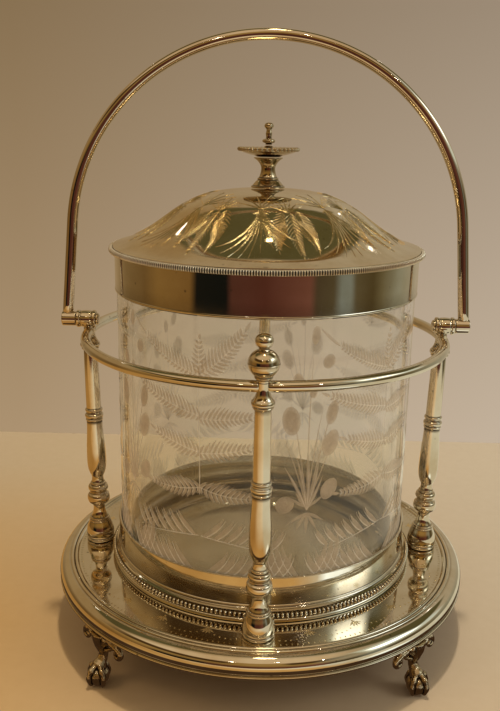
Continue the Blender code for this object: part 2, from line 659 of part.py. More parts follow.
def build_lid_finial():
    base = DOME_TOP + GAP
    stud_end = base - GAP - DOME_WALL - GAP - NUT_HEIGHT - STUD_PROUD
    stem_top = base + STEM_HEIGHT
    stem = [(0.0, stem_top)] + scaled(STEM_SHARES, STEM_RADIUS, STEM_HEIGHT, base)
    stem += [(STUD_RADIUS, base), (STUD_RADIUS, stud_end), (0.0, stud_end)]
    turned("finial_stem", stem, TURNED_STEPS, PARTS)
    disc_bottom = stem_top + GAP
    disc = scaled(DISC_FINIAL_SHARES, DISC_FINIAL_RADIUS, DISC_FINIAL_HEIGHT, disc_bottom)
    turned("finial_disc", disc + [(0.0, disc_bottom)], DISC_STEPS, PARTS)
    knob_bottom = disc_bottom + DISC_FINIAL_HEIGHT + GAP
    knob = scaled(KNOB_SHARES, KNOB_RADIUS, KNOB_HEIGHT, knob_bottom)
    turned("finial_knob", knob + [(0.0, knob_bottom)], TURNED_STEPS, PARTS)
    nut("finial_nut", (0.0, 0.0, 0.0), DOME_TOP - DOME_WALL - GAP)


clear_scene()
PARTS = new_collection("biscuit_barrel")
CUTTERS = new_collection("cutters")
build_plate()
build_gallery()
build_rails(build_columns())
build_feet()
build_handle(build_pivots())
build_jar()
build_lid()
build_lid_finial()
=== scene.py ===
"""Looks of the biscuit barrel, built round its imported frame.

Lengths in the tables and helpers are millimetres; a mesh is scaled to metres when it is made.
Outlines are (radius, height). Azimuths are degrees from the front (-Y), growing to the right (+X).
"""
import json
from math import atan2, cos, degrees, hypot, pi, radians, sin, tan

import bmesh
import bpy
import numpy as np
from mathutils import Matrix, Vector


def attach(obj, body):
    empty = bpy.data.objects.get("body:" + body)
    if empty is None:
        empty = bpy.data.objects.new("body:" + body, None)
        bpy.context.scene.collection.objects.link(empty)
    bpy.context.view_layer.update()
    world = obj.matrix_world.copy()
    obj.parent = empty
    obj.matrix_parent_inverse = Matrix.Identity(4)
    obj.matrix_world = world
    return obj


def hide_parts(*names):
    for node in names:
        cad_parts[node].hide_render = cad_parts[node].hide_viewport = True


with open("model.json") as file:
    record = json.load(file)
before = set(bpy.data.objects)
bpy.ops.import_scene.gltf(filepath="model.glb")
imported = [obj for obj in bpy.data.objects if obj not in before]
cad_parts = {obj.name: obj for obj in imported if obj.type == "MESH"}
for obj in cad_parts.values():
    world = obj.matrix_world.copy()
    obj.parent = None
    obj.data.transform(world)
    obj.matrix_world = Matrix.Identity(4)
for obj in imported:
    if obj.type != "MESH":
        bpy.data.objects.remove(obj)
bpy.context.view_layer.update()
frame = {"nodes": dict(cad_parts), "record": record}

MM = 0.001
WIDE_STEPS = 192
TURN_STEPS = 160
SMALL_STEPS = 72
WELD = 0.005                  # outline points closer than this are one
END_SUPPORT = 0.12            # from a straight line's ends to its extra points
FULL_HOLLOW = 900             # curvature per metre that holds all the tarnish
HOLLOW_LIMIT = 2500

# Sizes shared with the solids
PLATE_TOP = 31.9
PLATE_BOTTOM = 30.7
COLUMN_CIRCLE = 75.0
COLUMN_FOOT = 32.2
COLUMN_LEAN = radians(1.2)
RAIL_RADIUS = 2.15
RAIL_HEIGHT = 132.0
RAIL_CIRCLE = 77.09
PIVOT_HEIGHT = 137.3
JAR_RADIUS = 63.5
DOME_RADIUS = 64.9
DOME_EDGE_TOP = 171.3
DOME_RISE = 23.5
BALL_CIRCLE = 90.9
BALL_RADIUS = 4.6
BALL_HEIGHT = 4.2
FOOT_TOP = 23.0
WING_CIRCLE = 89.3
PLATE_EDGE = 83.4
OVOLO = (87.2, 27.3)
REED_HEIGHT = 31.75
GALLERY_IN = 63.9
BEAD_LINE = (67.1, 35.0)
BEADS = 224
TEETH = 420
TEETH_MIDDLE = 169.95
STEM_FOOT = 195.1
DISC_FOOT = 207.7
DISC_BEADS = 38
KNOB_FOOT = 212.5
BOW_SPAN = 86.35              # half the handle's width at its pivots
BOW_RISE = 118.2
BOW_START = 3.3               # from the pivots up to the end of the wire
BOW_RADIUS = 2.35
BOW_SPLAY = 5.0               # degrees
REPEATS = 5                   # of the engraving round the jar

# How far the cuts lie off their surface
JAR_LIFT = 0.025
DOME_LIFT = 0.03
PLATE_LIFT = 0.012

# The photograph's camera: degrees, a lens for a sensor 36 mm wide, and its place in metres
CAMERA_TILT = 15.21
CAMERA_PAN = -1.01
CAMERA_ROLL = 0.97
CAMERA_LENS = 42.26
CAMERA_PLACE = (0.0, -0.35572, 0.21881)

LIGHT_BOUNCES = 32
GLOSSY_BOUNCES = 16

COLUMN_TURNS = {"front": -90, "right": 0, "back": 90, "left": 180}
FOOT_TURNS = {"front_left": -135, "front_right": -45, "back_right": 45, "back_left": 135}
RAIL_TURNS = {"front_right": -90, "back_right": 0, "back_left": 90, "front_left": 180}
SIDES = {"left": -1, "right": 1}


# Shapes

def blend(a, b, start, end, t):
    """From a at start to b at end."""
    return (end - t) / (end - start) * a + (t - start) / (end - start) * b


def curve_through(points, per=6):
    """Points along a centripetal Catmull-Rom curve through the given ones."""
    knots = [np.array(p, float) for p in points]
    knots = [2 * knots[0] - knots[1]] + knots + [2 * knots[-1] - knots[-2]]
    out = []
    for a, b, c, d in zip(knots, knots[1:], knots[2:], knots[3:]):
        t1 = np.linalg.norm(b - a) ** 0.5
        t2 = t1 + np.linalg.norm(c - b) ** 0.5
        t3 = t2 + np.linalg.norm(d - c) ** 0.5
        for i in range(per):
            t = t1 + (t2 - t1) * i / per
            ab, bc, cd = blend(a, b, 0, t1, t), blend(b, c, t1, t2, t), blend(c, d, t2, t3, t)
            out.append(blend(blend(ab, bc, 0, t2, t), blend(bc, cd, t1, t3, t), t1, t2, t))
    out.append(knots[-2])
    return out


def outline(start, *runs, per=6):
    """An outline that goes on from its start: a point is a straight line to it, a list a smooth curve.

    A straight line has extra points close to its ends, which keep its shading flat."""
    points = []
    for run in runs:
        if isinstance(run, tuple):
            a, b = np.array(start, float), np.array(run, float)
            span = np.linalg.norm(b - a)
            ahead = (b - a) / span * min(END_SUPPORT, 0.2 * span)
            more = [a, a + ahead, b - ahead, b]
            start = run
        else:
            more = curve_through([start] + run, per)
            start = run[-1]
        for point in more:
            if not points or np.linalg.norm(np.array(points[-1]) - point) > WELD:
                points.append((float(point[0]), float(point[1])))
    return points


def arc(centre, radius, start, end, steps=8):
    angles = np.radians(np.linspace(start, end, steps + 1))
    return [(centre[0] + radius * cos(a), centre[1] + radius * sin(a)) for a in angles]


def polar(radius, angle, height):
    return (radius * cos(angle), radius * sin(angle), height)


def lathe(points, steps=TURN_STEPS, closed=False, wave=None):
    """A body of revolution about Z. wave(angle, index) can move each point outwards."""
    verts, faces, rows = [], [], []
    for k, (r, z) in enumerate(points):
        if r < 0.001:
            rows.append([len(verts)] * steps)
            verts.append((0.0, 0.0, z))
            continue
        row = []
        for i in range(steps):
            a = 2 * pi * i / steps
            row.append(len(verts))
            verts.append(polar(r + wave(a, k) if wave else r, a, z))
        rows.append(row)
    pairs = list(zip(rows, rows[1:])) + ([(rows[-1], rows[0])] if closed else [])
    for upper, lower in pairs:
        for i in range(steps):
            j = (i + 1) % steps
            face = [upper[i], upper[j], lower[j], lower[i]]
            kept = [v for n, v in enumerate(face) if v != face[n - 1]]
            if len(kept) > 2:
                faces.append(kept)
    return verts, faces


def unit(vector):
    return vector / np.linalg.norm(vector)


def sweep(path, radii, sides, upward=(0.0, 0.0, 1.0)):
    """A tube along a path, with its own radius at each point and rounded ends."""
    path = [np.array(p, float) for p in path]
    radii = list(np.broadcast_to(radii, len(path)))
    first, last = unit(path[0] - path[1]), unit(path[-1] - path[-2])
    path = ([path[0] + first * radii[0] * 0.5, path[0] + first * radii[0] * 0.35] + path
            + [path[-1] + last * radii[-1] * 0.35, path[-1] + last * radii[-1] * 0.5])
    radii = [radii[0] * 0.4, radii[0] * 0.8] + radii + [radii[-1] * 0.8, radii[-1] * 0.4]
    count = len(path)
    verts, faces = [], []
    side = np.array(upward, float)
    for k in range(count):
        along = unit(path[min(k + 1, count - 1)] - path[max(k - 1, 0)])
        if not k and abs(along @ side) > 0.95:
            side = np.array((1.0, 0.0, 0.0))
        side = unit(side - along * (side @ along))
        other = np.cross(along, side)
        for i in range(sides):
            a = 2 * pi * i / sides
            verts.append(tuple(path[k] + radii[k] * (cos(a) * side + sin(a) * other)))
    for k in range(count - 1):
        for i in range(sides):
            j = (i + 1) % sides
            faces.append([k * sides + i, k * sides + j, (k + 1) * sides + j, (k + 1) * sides + i])
    faces.append(list(reversed(range(sides))))
    faces.append([(count - 1) * sides + i for i in range(sides)])
    return verts, faces


def limb(points, per, shares, widths, sides, upward=(0.0, 0.0, 1.0)):
    """A tube along a smooth curve, as thick as widths say at the shares of its length."""
    path = curve_through(points, per)
    radii = np.interp(np.linspace(0, 1, len(path)), shares, widths)
    return sweep(path, radii, sides, upward)


def bead(centre, sizes, rings=7, segments=12, turn=0.0):
    """An ellipsoid with half-axes along the radius, the tangent and Z, turned about Z."""
    points = [(sin(pi * k / rings), cos(pi * k / rings)) for k in range(rings + 1)]
    verts, faces = lathe([(0.0, 1.0)] + points[1:-1] + [(0.0, -1.0)], segments)
    c, s = cos(turn), sin(turn)
    placed = []
    for x, y, z in verts:
        x, y, z = x * sizes[0], y * sizes[1], z * sizes[2]
        placed.append((centre[0] + c * x - s * y, centre[1] + s * x + c * y, centre[2] + z))
    return placed, faces


def ring_of_beads(count, radius, height, sizes, **detail):
    turns = [2 * pi * i / count for i in range(count)]
    return [bead(polar(radius, a, height), sizes, turn=a, **detail) for a in turns]


def moved(shape, matrix):
    """A shape with a matrix in metres applied."""
    verts, faces = shape
    return [tuple((matrix @ (Vector(v) * MM)) / MM) for v in verts], faces


def joined(parts):
    """Several shapes as one list of points and faces."""
    verts, faces = [], []
    for some_verts, some_faces in parts:
        start = len(verts)
        verts.extend(some_verts)
        faces.extend([[v + start for v in face] for face in some_faces])
    return verts, faces


def values_of(items, name, width, kind=float):
    """A property of all points or edges as an array."""
    values = np.empty(len(items) * width, kind)
    items.foreach_get(name, values)
    return values.reshape(-1, width)


def mark_hollows(mesh):
    """Store how hollow the surface is at each point, for tarnish that polishing leaves behind."""
    count = len(mesh.vertices)
    places = values_of(mesh.vertices, "co", 3)
    normals = values_of(mesh.vertices, "normal", 3)
    a, b = values_of(mesh.edges, "vertices", 2, int).T
    step = places[b] - places[a]
    length = np.maximum((step ** 2).sum(1), 1e-10)
    total, links = np.zeros((2, count))
    np.add.at(total, a, (normals[a] * step).sum(1) / length)
    np.add.at(total, b, -(normals[b] * step).sum(1) / length)
    np.add.at(links, a, 1)
    np.add.at(links, b, 1)
    links = np.maximum(links, 1)
    value = np.clip(total / links, -HOLLOW_LIMIT, HOLLOW_LIMIT)
    for _ in range(4):
        spread = np.zeros(count)
        np.add.at(spread, a, value[b])
        np.add.at(spread, b, value[a])
        value = 0.5 * value + 0.5 * spread / links
    layer = mesh.attributes.new("hollow", "FLOAT", "POINT")
    layer.data.foreach_set("value", np.clip(value / FULL_HOLLOW, -1, 1).astype(np.float32))


def mesh_of(name, shape):
    mesh = bpy.data.meshes.new(name)
    mesh.from_pydata([tuple(v) for v in shape[0]], [], shape[1])
    return mesh


def put(name, data):
    """A new object in the scene."""
    made = bpy.data.objects.new(name, data)
    bpy.context.scene.collection.objects.link(made)
    return made


def make_piece(name, shape, stands_for=None, slot="stand_metal", body="stand", look=None, matrix=None,
               sharp=38, solid=True):
    """A mesh that rides a body, in its slot's look or its own, in place of a solid if one is named."""
    mesh = mesh_of(name, shape)
    mesh.transform(Matrix.Scale(MM, 4))
    if matrix is not None:
        mesh.transform(matrix)
    if solid:
        work = bmesh.new()
        work.from_mesh(mesh)
        bmesh.ops.recalc_face_normals(work, faces=work.faces)
        work.to_mesh(mesh)
        work.free()
    mesh.shade_smooth()
    mesh.set_sharp_from_angle(angle=radians(sharp))
    mark_hollows(mesh)
    made = put(name, mesh)
    mesh.materials.append(look or LOOKS[slot])
    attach(made, body)
    if stands_for:
        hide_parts(stands_for)
    return made


def column_matrix(turn):
    angle = radians(turn)
    foot = Vector(polar(COLUMN_CIRCLE, angle, COLUMN_FOOT)) * MM
    return Matrix.Translation(foot) @ Matrix.Rotation(angle, 4, "Z") @ Matrix.Rotation(COLUMN_LEAN, 4, "Y")


def cross_matrix(side):
    """Turns a lathe's Z to the pivot axis, pointing away from the jar."""
    return Matrix.Translation((0, 0, PIVOT_HEIGHT * MM)) @ Matrix.Rotation(side * pi / 2, 4, "Y")


# Materials

def tone(r, g, b):
    """A colour written as it looks on a screen, 0 to 255."""
    parts = [v / 255 for v in (r, g, b)]
    return tuple(v / 12.92 if v <= 0.04045 else ((v + 0.055) / 1.055) ** 2.4 for v in parts) + (1.0,)


class Nodes:
    """Short calls for building a node tree."""

    def __init__(self, owner):
        self.owner = owner
        owner.use_nodes = True
        self.tree = owner.node_tree
        self.tree.nodes.clear()

    def add(self, kind, sockets=None, **settings):
        made = self.tree.nodes.new("ShaderNode" + kind)
        for key, value in settings.items():
            setattr(made, key, value)
        for key, value in (sockets or {}).items():
            if isinstance(value, bpy.types.NodeSocket):
                self.tree.links.new(value, made.inputs[key])
            else:
                made.inputs[key].default_value = value
        return made

    def out(self, kind, sockets=None, **settings):
        """The first output of a new node."""
        return self.add(kind, sockets, **settings).outputs[0]

    def math(self, operation, a, b=0.0, clamp=False):
        return self.out("Math", {0: a, 1: b}, operation=operation, use_clamp=clamp)

    def mix(self, factor, a, b, blend="MIX"):
        made = self.add("Mix", {0: factor, 6: a, 7: b}, data_type="RGBA", blend_type=blend)
        return made.outputs[2]

    def times(self, first, *others):
        for other in others:
            first = self.math("MULTIPLY", first, other)
        return first

    def place(self):
        return self.add("TexCoord").outputs["Object"]

    def opposite(self, share):
        return self.math("SUBTRACT", 1.0, share)

    def ramp(self, factor, stops):
        made = self.add("ValToRGB", {0: factor})
        elements = made.color_ramp.elements
        while len(elements) < len(stops):
            elements.new(1.0)
        for element, (place, colour) in zip(elements, stops):
            element.position = place
            element.color = colour
        return made.outputs[0]

    def grey(self, factor, low, high):
        """0 below low, 1 above high."""
        return self.out("MapRange", {0: factor, 1: low, 2: high})

    def fade(self, factor, low, high, a, b):
        return self.mix(self.grey(factor, low, high), a, b)

    def noise(self, vector, scale, detail):
        return self.out("TexNoise", {"Vector": vector, "Scale": scale, "Detail": detail, "Roughness": 0.55})

    def bump(self, strength, distance, height, **under):
        """Relief from a height. Normal=... names the bump under it."""
        return self.out("Bump", {"Strength": strength, "Distance": distance, "Height": height, **under})

    def surface(self, sockets):
        """One Principled shader, straight to the material's output."""
        self.add("OutputMaterial", {0: self.out("BsdfPrincipled", sockets)})
        return self.owner


def silver(name, bright, worn, tarnish, rough, dirt=1.0, lines=(90, 90, 1800), wave=0.10, spots=0.6,
           cast=0.0, teeth=0, metal=1.0):
    """Polished plate: worn patches, tarnish in hollows, small spots, fine scratches and faint waves; with
    teeth, painted shade in the gaps between them.
    """
    n = Nodes(bpy.data.materials.new(name))
    place = n.place()
    broad = n.noise(place, 48, 4)
    fine = n.noise(place, 520, 3)
    hollow = n.add("Attribute", attribute_name="hollow").outputs["Fac"]
    scratch = n.noise(n.out("Mapping", {"Vector": place, "Scale": lines}), 1, 2)
    cells = n.add("TexVoronoi", {"Vector": place, "Scale": 230.0}).outputs["Distance"]
    pit = n.times(n.grey(cells, 0.16, 0.06), n.grey(n.noise(place, 130, 1), 0.56, 0.62), spots)
    colour = n.fade(broad, 0.38, 0.66, tone(*bright), tone(*worn))
    grime_and_gap_shade = n.math("ADD", n.times(hollow, dirt), n.times(n.grey(fine, 0.5, 0.9), 0.10))
    grime_and_gap_shade = n.math("MAXIMUM", n.math("MULTIPLY", grime_and_gap_shade, 1.0, clamp=True), pit)
    colour = n.mix(grime_and_gap_shade, colour, tone(*tarnish))
    # Painted shade: the gaps between the rim's teeth are darkened with the tarnish tone.
    if teeth:
        x, y, z = n.add("SeparateXYZ", {0: place}).outputs
        row = n.math("COSINE", n.times(n.math("ARCTAN2", y, x), float(teeth)))
        off = n.math("ABSOLUTE", n.math("SUBTRACT", z, TEETH_MIDDLE * MM))
        grime_and_gap_shade = n.math("MAXIMUM", grime_and_gap_shade, n.times(n.grey(row, 0.15, -0.35), n.grey(off, 0.0010, 0.0008)))
        colour = n.mix(grime_and_gap_shade, colour, tone(*tarnish))
    roughness = n.math("ADD", n.times(n.grey(broad, 0.4, 0.75), 0.05), rough)
    roughness = n.math("ADD", roughness, n.times(grime_and_gap_shade, 0.30))
    roughness = n.math("ADD", roughness, n.times(n.grey(scratch, 0.60, 0.75), 0.05), clamp=True)
    bump = n.bump(wave, 0.0012, n.noise(place, 34, 1))
    bump = n.bump(0.05, 0.00006, scratch, Normal=bump)
    if cast:
        bump = n.bump(cast, 0.00035, n.noise(place, 900, 3), Normal=bump)
    return n.surface({"Base Color": colour, "Metallic": metal, "Roughness": roughness, "Normal": bump})


def clear_glass():
    """Old clear glass: faintly uneven, with a few fine scratches."""
    n = Nodes(bpy.data.materials.new("old_clear_glass"))
    place = n.place()
    swell = n.noise(n.out("Mapping", {"Vector": place, "Scale": (22, 22, 60)}), 1, 1)
    scratch = n.noise(n.out("Mapping", {"Vector": place, "Scale": (500, 500, 30)}), 1, 2)
    return n.surface({"Base Color": n.fade(swell, 0.3, 0.7, tone(254, 254, 252), tone(251, 253, 249)),
                      "Roughness": n.times(n.grey(scratch, 0.62, 0.80), 0.06), "IOR": 1.5,
                      "Transmission Weight": 1.0, "Normal": n.bump(0.06, 0.0006, swell),
                      "Alpha": n.opposite(n.add("LightPath").outputs["Is Shadow Ray"])})


def frosted_cut(name, dark, light, cover):
    """The matt grey of wheel-cut strokes in glass, fainter where it is seen through the glass."""
    n = Nodes(bpy.data.materials.new(name))
    place = n.place()
    grain = n.noise(place, 2600, 2)
    patch = n.noise(place, 160, 3)
    path = n.add("LightPath").outputs
    share = n.math("ADD", n.times(n.grey(patch, 0.3, 0.7), 0.24), cover)
    far = n.math("GREATER_THAN", path["Transmission Depth"], 0.5)
    share = n.times(share, n.opposite(n.times(far, 0.6)), n.opposite(path["Is Shadow Ray"]))
    return n.surface({"Base Color": n.fade(grain, 0.35, 0.7, tone(*dark), tone(*light)),
                      "Roughness": 0.55, "IOR": 1.5, "Alpha": share, "Normal": n.bump(0.4, 0.00008, grain)})


def plaster():
    n = Nodes(bpy.data.materials.new("old_plaster"))
    lumps = n.noise(n.place(), 700, 5)
    return n.surface({"Base Color": n.mix(lumps, tone(214, 208, 192), tone(236, 232, 220)),
                      "Roughness": 0.9, "Normal": n.bump(0.5, 0.0003, lumps)})


LOOKS = {
    "stand_metal": silver("plated_stand", (229, 223, 208), (214, 202, 178), (84, 64, 40), 0.035),
    "column_metal": silver("plated_columns", (228, 220, 203), (210, 194, 166), (60, 44, 26), 0.04),
    "foot_metal": silver("plated_feet", (208, 196, 172), (178, 158, 126), (40, 30, 20), 0.10, dirt=3.4,
                         lines=(500, 500, 500), cast=0.5),
    "handle_metal": silver("plated_handle", (226, 216, 200), (208, 194, 172), (84, 62, 42), 0.045),
    "collar_metal": silver("plated_collar", (230, 224, 210), (216, 206, 184), (88, 68, 44), 0.035,
                           lines=(260, 260, 900), wave=0.16),
    "lid_metal": silver("plated_lid", (230, 222, 204), (216, 202, 174), (76, 58, 36), 0.045, wave=0.14),
    "finial_metal": silver("plated_finial", (206, 192, 166), (176, 156, 122), (40, 30, 18), 0.07, dirt=2.0),
    "nut_metal": silver("worn_brass_nut", (206, 172, 108), (176, 138, 78), (70, 50, 28), 0.22),
    "jar_glass": clear_glass(),
    "plaster": plaster(),
}
BRIGHT_CUT = silver("bright_cut_metal", (240, 226, 190), (226, 198, 140), (120, 84, 46), 0.18, dirt=0.0,
                    lines=(900, 900, 900), wave=0.0, spots=0.0, cast=0.5)
FROSTED = frosted_cut("frosted_cut", (204, 182, 150), (226, 206, 174), 0.50)
CUT_EDGE = frosted_cut("bright_cut_edge", (246, 230, 202), (253, 242, 220), 0.56)
# Painted shade for the gaps between the gallery's beads.
BEAD_GAP_SHADE = silver("painted_bead_gap_shade", (74, 56, 34), (52, 38, 22), (24, 16, 8), 0.30)
# The rim's metal: tarnish in its hollows, plus painted shade in the gaps between its teeth.
REEDED = silver("reeded_rim_metal", (232, 222, 200), (222, 206, 176), (34, 20, 12), 0.30, teeth=TEETH,
                metal=0.6)


# Base plate, border and gallery

def build_plate():
    disc = outline((0, PLATE_TOP), (PLATE_EDGE, PLATE_TOP), (PLATE_EDGE, PLATE_BOTTOM), (0, PLATE_BOTTOM))
    make_piece("mirror_plate", lathe(disc, WIDE_STEPS), "base_plate")
    border = [(PLATE_EDGE, REED_HEIGHT)]
    for circle in (84.42, 86.25):
        border += arc((circle, REED_HEIGHT), 0.86, 172, 8, 8)
    border += arc(OVOLO, 4.6, 86, -30, 18) + [(91.1, 24.95)] + arc((90.9, 24.2), 0.9, 42, -90, 8)
    border += [(90.1, 23.3)] + arc(OVOLO, 3.4, -30, 90, 8) + [(PLATE_EDGE, PLATE_BOTTOM)]
    make_piece("reeded_border", lathe(border, WIDE_STEPS, closed=True), "plate_border")


def build_gallery():
    foot = outline(
        (GALLERY_IN, 33.6), (66.7, 33.6), [(67.2, 33.35), (67.55, 32.85), (67.65, 32.2)],
        (GALLERY_IN, 32.2))
    make_piece("gallery_spread", lathe(foot, closed=True), "gallery_foot")
    # A dark ring inside the beaded wire: painted shade that shows between the beads.
    core = lathe(arc(BEAD_LINE, 0.62, 0, 315, 7), WIDE_STEPS, closed=True)
    make_piece("dark_bead_core", core, look=BEAD_GAP_SHADE, solid=False)
    beads = ring_of_beads(BEADS, *BEAD_LINE, (1.08, 0.74, 1.08), rings=6, segments=10)
    make_piece("beaded_wire", joined(beads), "gallery_bead_wire")
    band = outline(
        (GALLERY_IN, 49.8), [(64.05, 50.03), (64.45, 50.1), (64.85, 50.03), (65, 49.8)], (65, 38.4),
        [(65.3, 38.15), (65.42, 37.8), (65.3, 37.45), (65.05, 37.2)],
        [(65.35, 36.85), (66, 36.6), (66.55, 36.4)], (65.7, 36.4), (65.7, 33.9), (GALLERY_IN, 33.9))
    make_piece("plain_gallery", lathe(band, closed=True), "gallery_band")


# Columns, their tops and the rail

COLUMN_PROFILE = outline(
    (0, 101.3), (2.45, 101.3), [(2.45, 98.2), (2.9, 96.4), (3.6, 95.1), (4.15, 94.5)],
    [(4.35, 93.9), (4.3, 93.2), (4, 92.8)], (3.55, 92.6), [(3.85, 92.1), (3.5, 91.5)], (3, 91.2),
    [(3.1, 86), (3.2, 78), (3.3, 70), (3.32, 64.6)], (3.35, 64), [(3.8, 63.7), (3.9, 63.2), (3.75, 62.7)],
    (3.45, 62.3), [(3.55, 61.7), (4.05, 61.2), (4.1, 60.4), (3.85, 59.7)], (3.5, 59.3),
    [(3.85, 58.9), (3.7, 58.3), (3.5, 58.1)],
    [(3.6, 54), (3.85, 50), (4.1, 46), (4.3, 41), (4.25, 37.6), (3.9, 34.6), (3.2, 32.4)],
    [(2.65, 31.2), (2.6, 30), (2.85, 28.4)], [(3.3, 28.1), (3.45, 27.6), (3.25, 27.1)],
    [(4, 26.9), (4.5, 25.9), (4.45, 24.9), (4, 24.2)], [(3.8, 23.6), (4, 22.9)],
    [(4.75, 22.2), (5.05, 21), (5, 19.6), (4.6, 18.6), (4, 18)], (3.6, 17.8),
    [(3, 17.2), (2.7, 15.9), (2.8, 14.2), (3.2, 12.4), (3.85, 11)],
    [(4.45, 10.9), (4.55, 10.5), (4.4, 10.1)], [(4.75, 10), (4.85, 9.6), (4.75, 9.2)],
    [(5, 8.6), (5.7, 6.9), (6.2, 5), (6.4, 3.2), (6.3, 1.9), (5.95, 1.15)],
    [(6.3, 0.9), (6.35, 0.5), (6.2, 0)], (1.5, 0), (1.5, -4.7), (0, -4.7))
BALL_PROFILE = outline(
    (0, 118.9), [(1.4, 118.75), (2.6, 118.1), (3.25, 116.9), (3.3, 115.9), (2.9, 114.8), (2.1, 114.1)],
    [(1.9, 113.6), (2.1, 113.1)], [(3.4, 112.5), (4.7, 111.3), (5.5, 109.7), (5.7, 108.5)],
    [(5.83, 108.25), (5.7, 107.95)], [(5.35, 106.4), (4.4, 104.8), (3.3, 103.7)],
    [(3.4, 103.2), (3.1, 102.7)], [(2.6, 102.3), (2.45, 101.6)], (0, 101.6))


def build_columns():
    for side, turn in COLUMN_TURNS.items():
        place = column_matrix(turn)
        make_piece("turned_column_" + side, lathe(COLUMN_PROFILE, SMALL_STEPS), "column_" + side,
                   "column_metal", matrix=place)
        if side not in SIDES:
            make_piece("double_ball_" + side, lathe(BALL_PROFILE, SMALL_STEPS), "ball_finial_" + side,
                       "column_metal", matrix=place)


def build_rails():
    for side, turn in RAIL_TURNS.items():
        inset = degrees(2.3 / RAIL_CIRCLE)
        angles = np.radians(np.linspace(turn + inset, turn + 90 - inset, 41))
        path = [polar(RAIL_CIRCLE, a, RAIL_HEIGHT) for a in angles]
        make_piece("quarter_rail_" + side, sweep(path, RAIL_RADIUS, 28), "rail_" + side)


def build_pivots():
    cup = outline(
        (0, 105.1), (3.4, 105.1), [(3.85, 104.7), (3.9, 103.9), (3.6, 103.1)],
        [(3, 102.6), (2.5, 102.2), (2.45, 101.6)], (0, 101.6))
    barrel = outline(
        (1.95, 74), (3.3, 74), [(3.7, 74.2), (3.8, 74.7)], (3.8, 75.2),
        [(3.5, 75.5), (3.45, 76), (3.6, 76.4)], [(3.72, 78.1), (3.6, 79.9)],
        [(3.45, 80.3), (3.5, 80.8), (3.8, 81.1)], (3.8, 81.6), [(3.7, 82.1), (3.3, 82.3)], (1.95, 82.3))
    pin = outline(
        (0, 72.45), [(1.2, 72.5), (2.1, 72.75), (2.55, 73.2)], (2.6, 73.7), (1.6, 73.7), (1.6, 88.3),
        [(1.5, 88.6), (1, 88.68), (0, 88.7)])
    eye = outline(
        (1.9, 82.6), (2.9, 82.6), [(3.15, 82.75), (3.2, 83)], (3.2, 88.2), [(3.1, 88.55), (2.8, 88.7)],
        (1.9, 88.7))
    for name, side in SIDES.items():
        across = cross_matrix(side)
        head = [moved(lathe(cup, 48), column_matrix(COLUMN_TURNS[name])),
                moved(lathe(barrel, 56, closed=True), across)]
        make_piece("pivot_cup_" + name, joined(head), "pivot_head_" + name, "column_metal")
        make_piece("pin_" + name, lathe(pin, 32), "pivot_pin_" + name, "column_metal", matrix=across)
        make_piece("swing_eye_" + name, lathe(eye, 48, closed=True), "handle_eye_" + name, "handle_metal",
                   "handle", matrix=across)


def build_bow():
    """Two splayed legs, and an arc that they run into smoothly."""
    splay = radians(BOW_SPLAY)
    slope = tan(splay)
    radius = (BOW_SPAN - BOW_RISE * slope) / (1 / cos(splay) - slope)
    centre = BOW_RISE - radius
    joint = np.array((radius * cos(splay), centre + radius * sin(splay)))
    foot = np.array((BOW_SPAN - BOW_START * slope, BOW_START))
    leg = [tuple(foot + (joint - foot) * t) for t in np.linspace(0, 1, 14)][:-1]
    top = arc((0, centre), radius, BOW_SPLAY, 180 - BOW_SPLAY, 110)
    path = [(x, 0.0, PIVOT_HEIGHT + z) for x, z in leg + top + [(-x, z) for x, z in leg[::-1]]]
    make_piece("swing_bow", sweep(path, BOW_RADIUS, 28, upward=(0, 1, 0)), "handle_bow", "handle_metal",
               "handle")


# Feet

def ball_point(turn, tilt, radius):
    a, t = radians(turn), radians(tilt)
    level = radius * cos(t)
    return (BALL_CIRCLE + level * cos(a), level * sin(a), BALL_HEIGHT + radius * sin(t))


def under_border(way, inset, places):
    """Points under the plate's border, from pairs of a distance along it and a height."""
    return [polar(WING_CIRCLE - inset, way * along / WING_CIRCLE, height) for along, height in places]


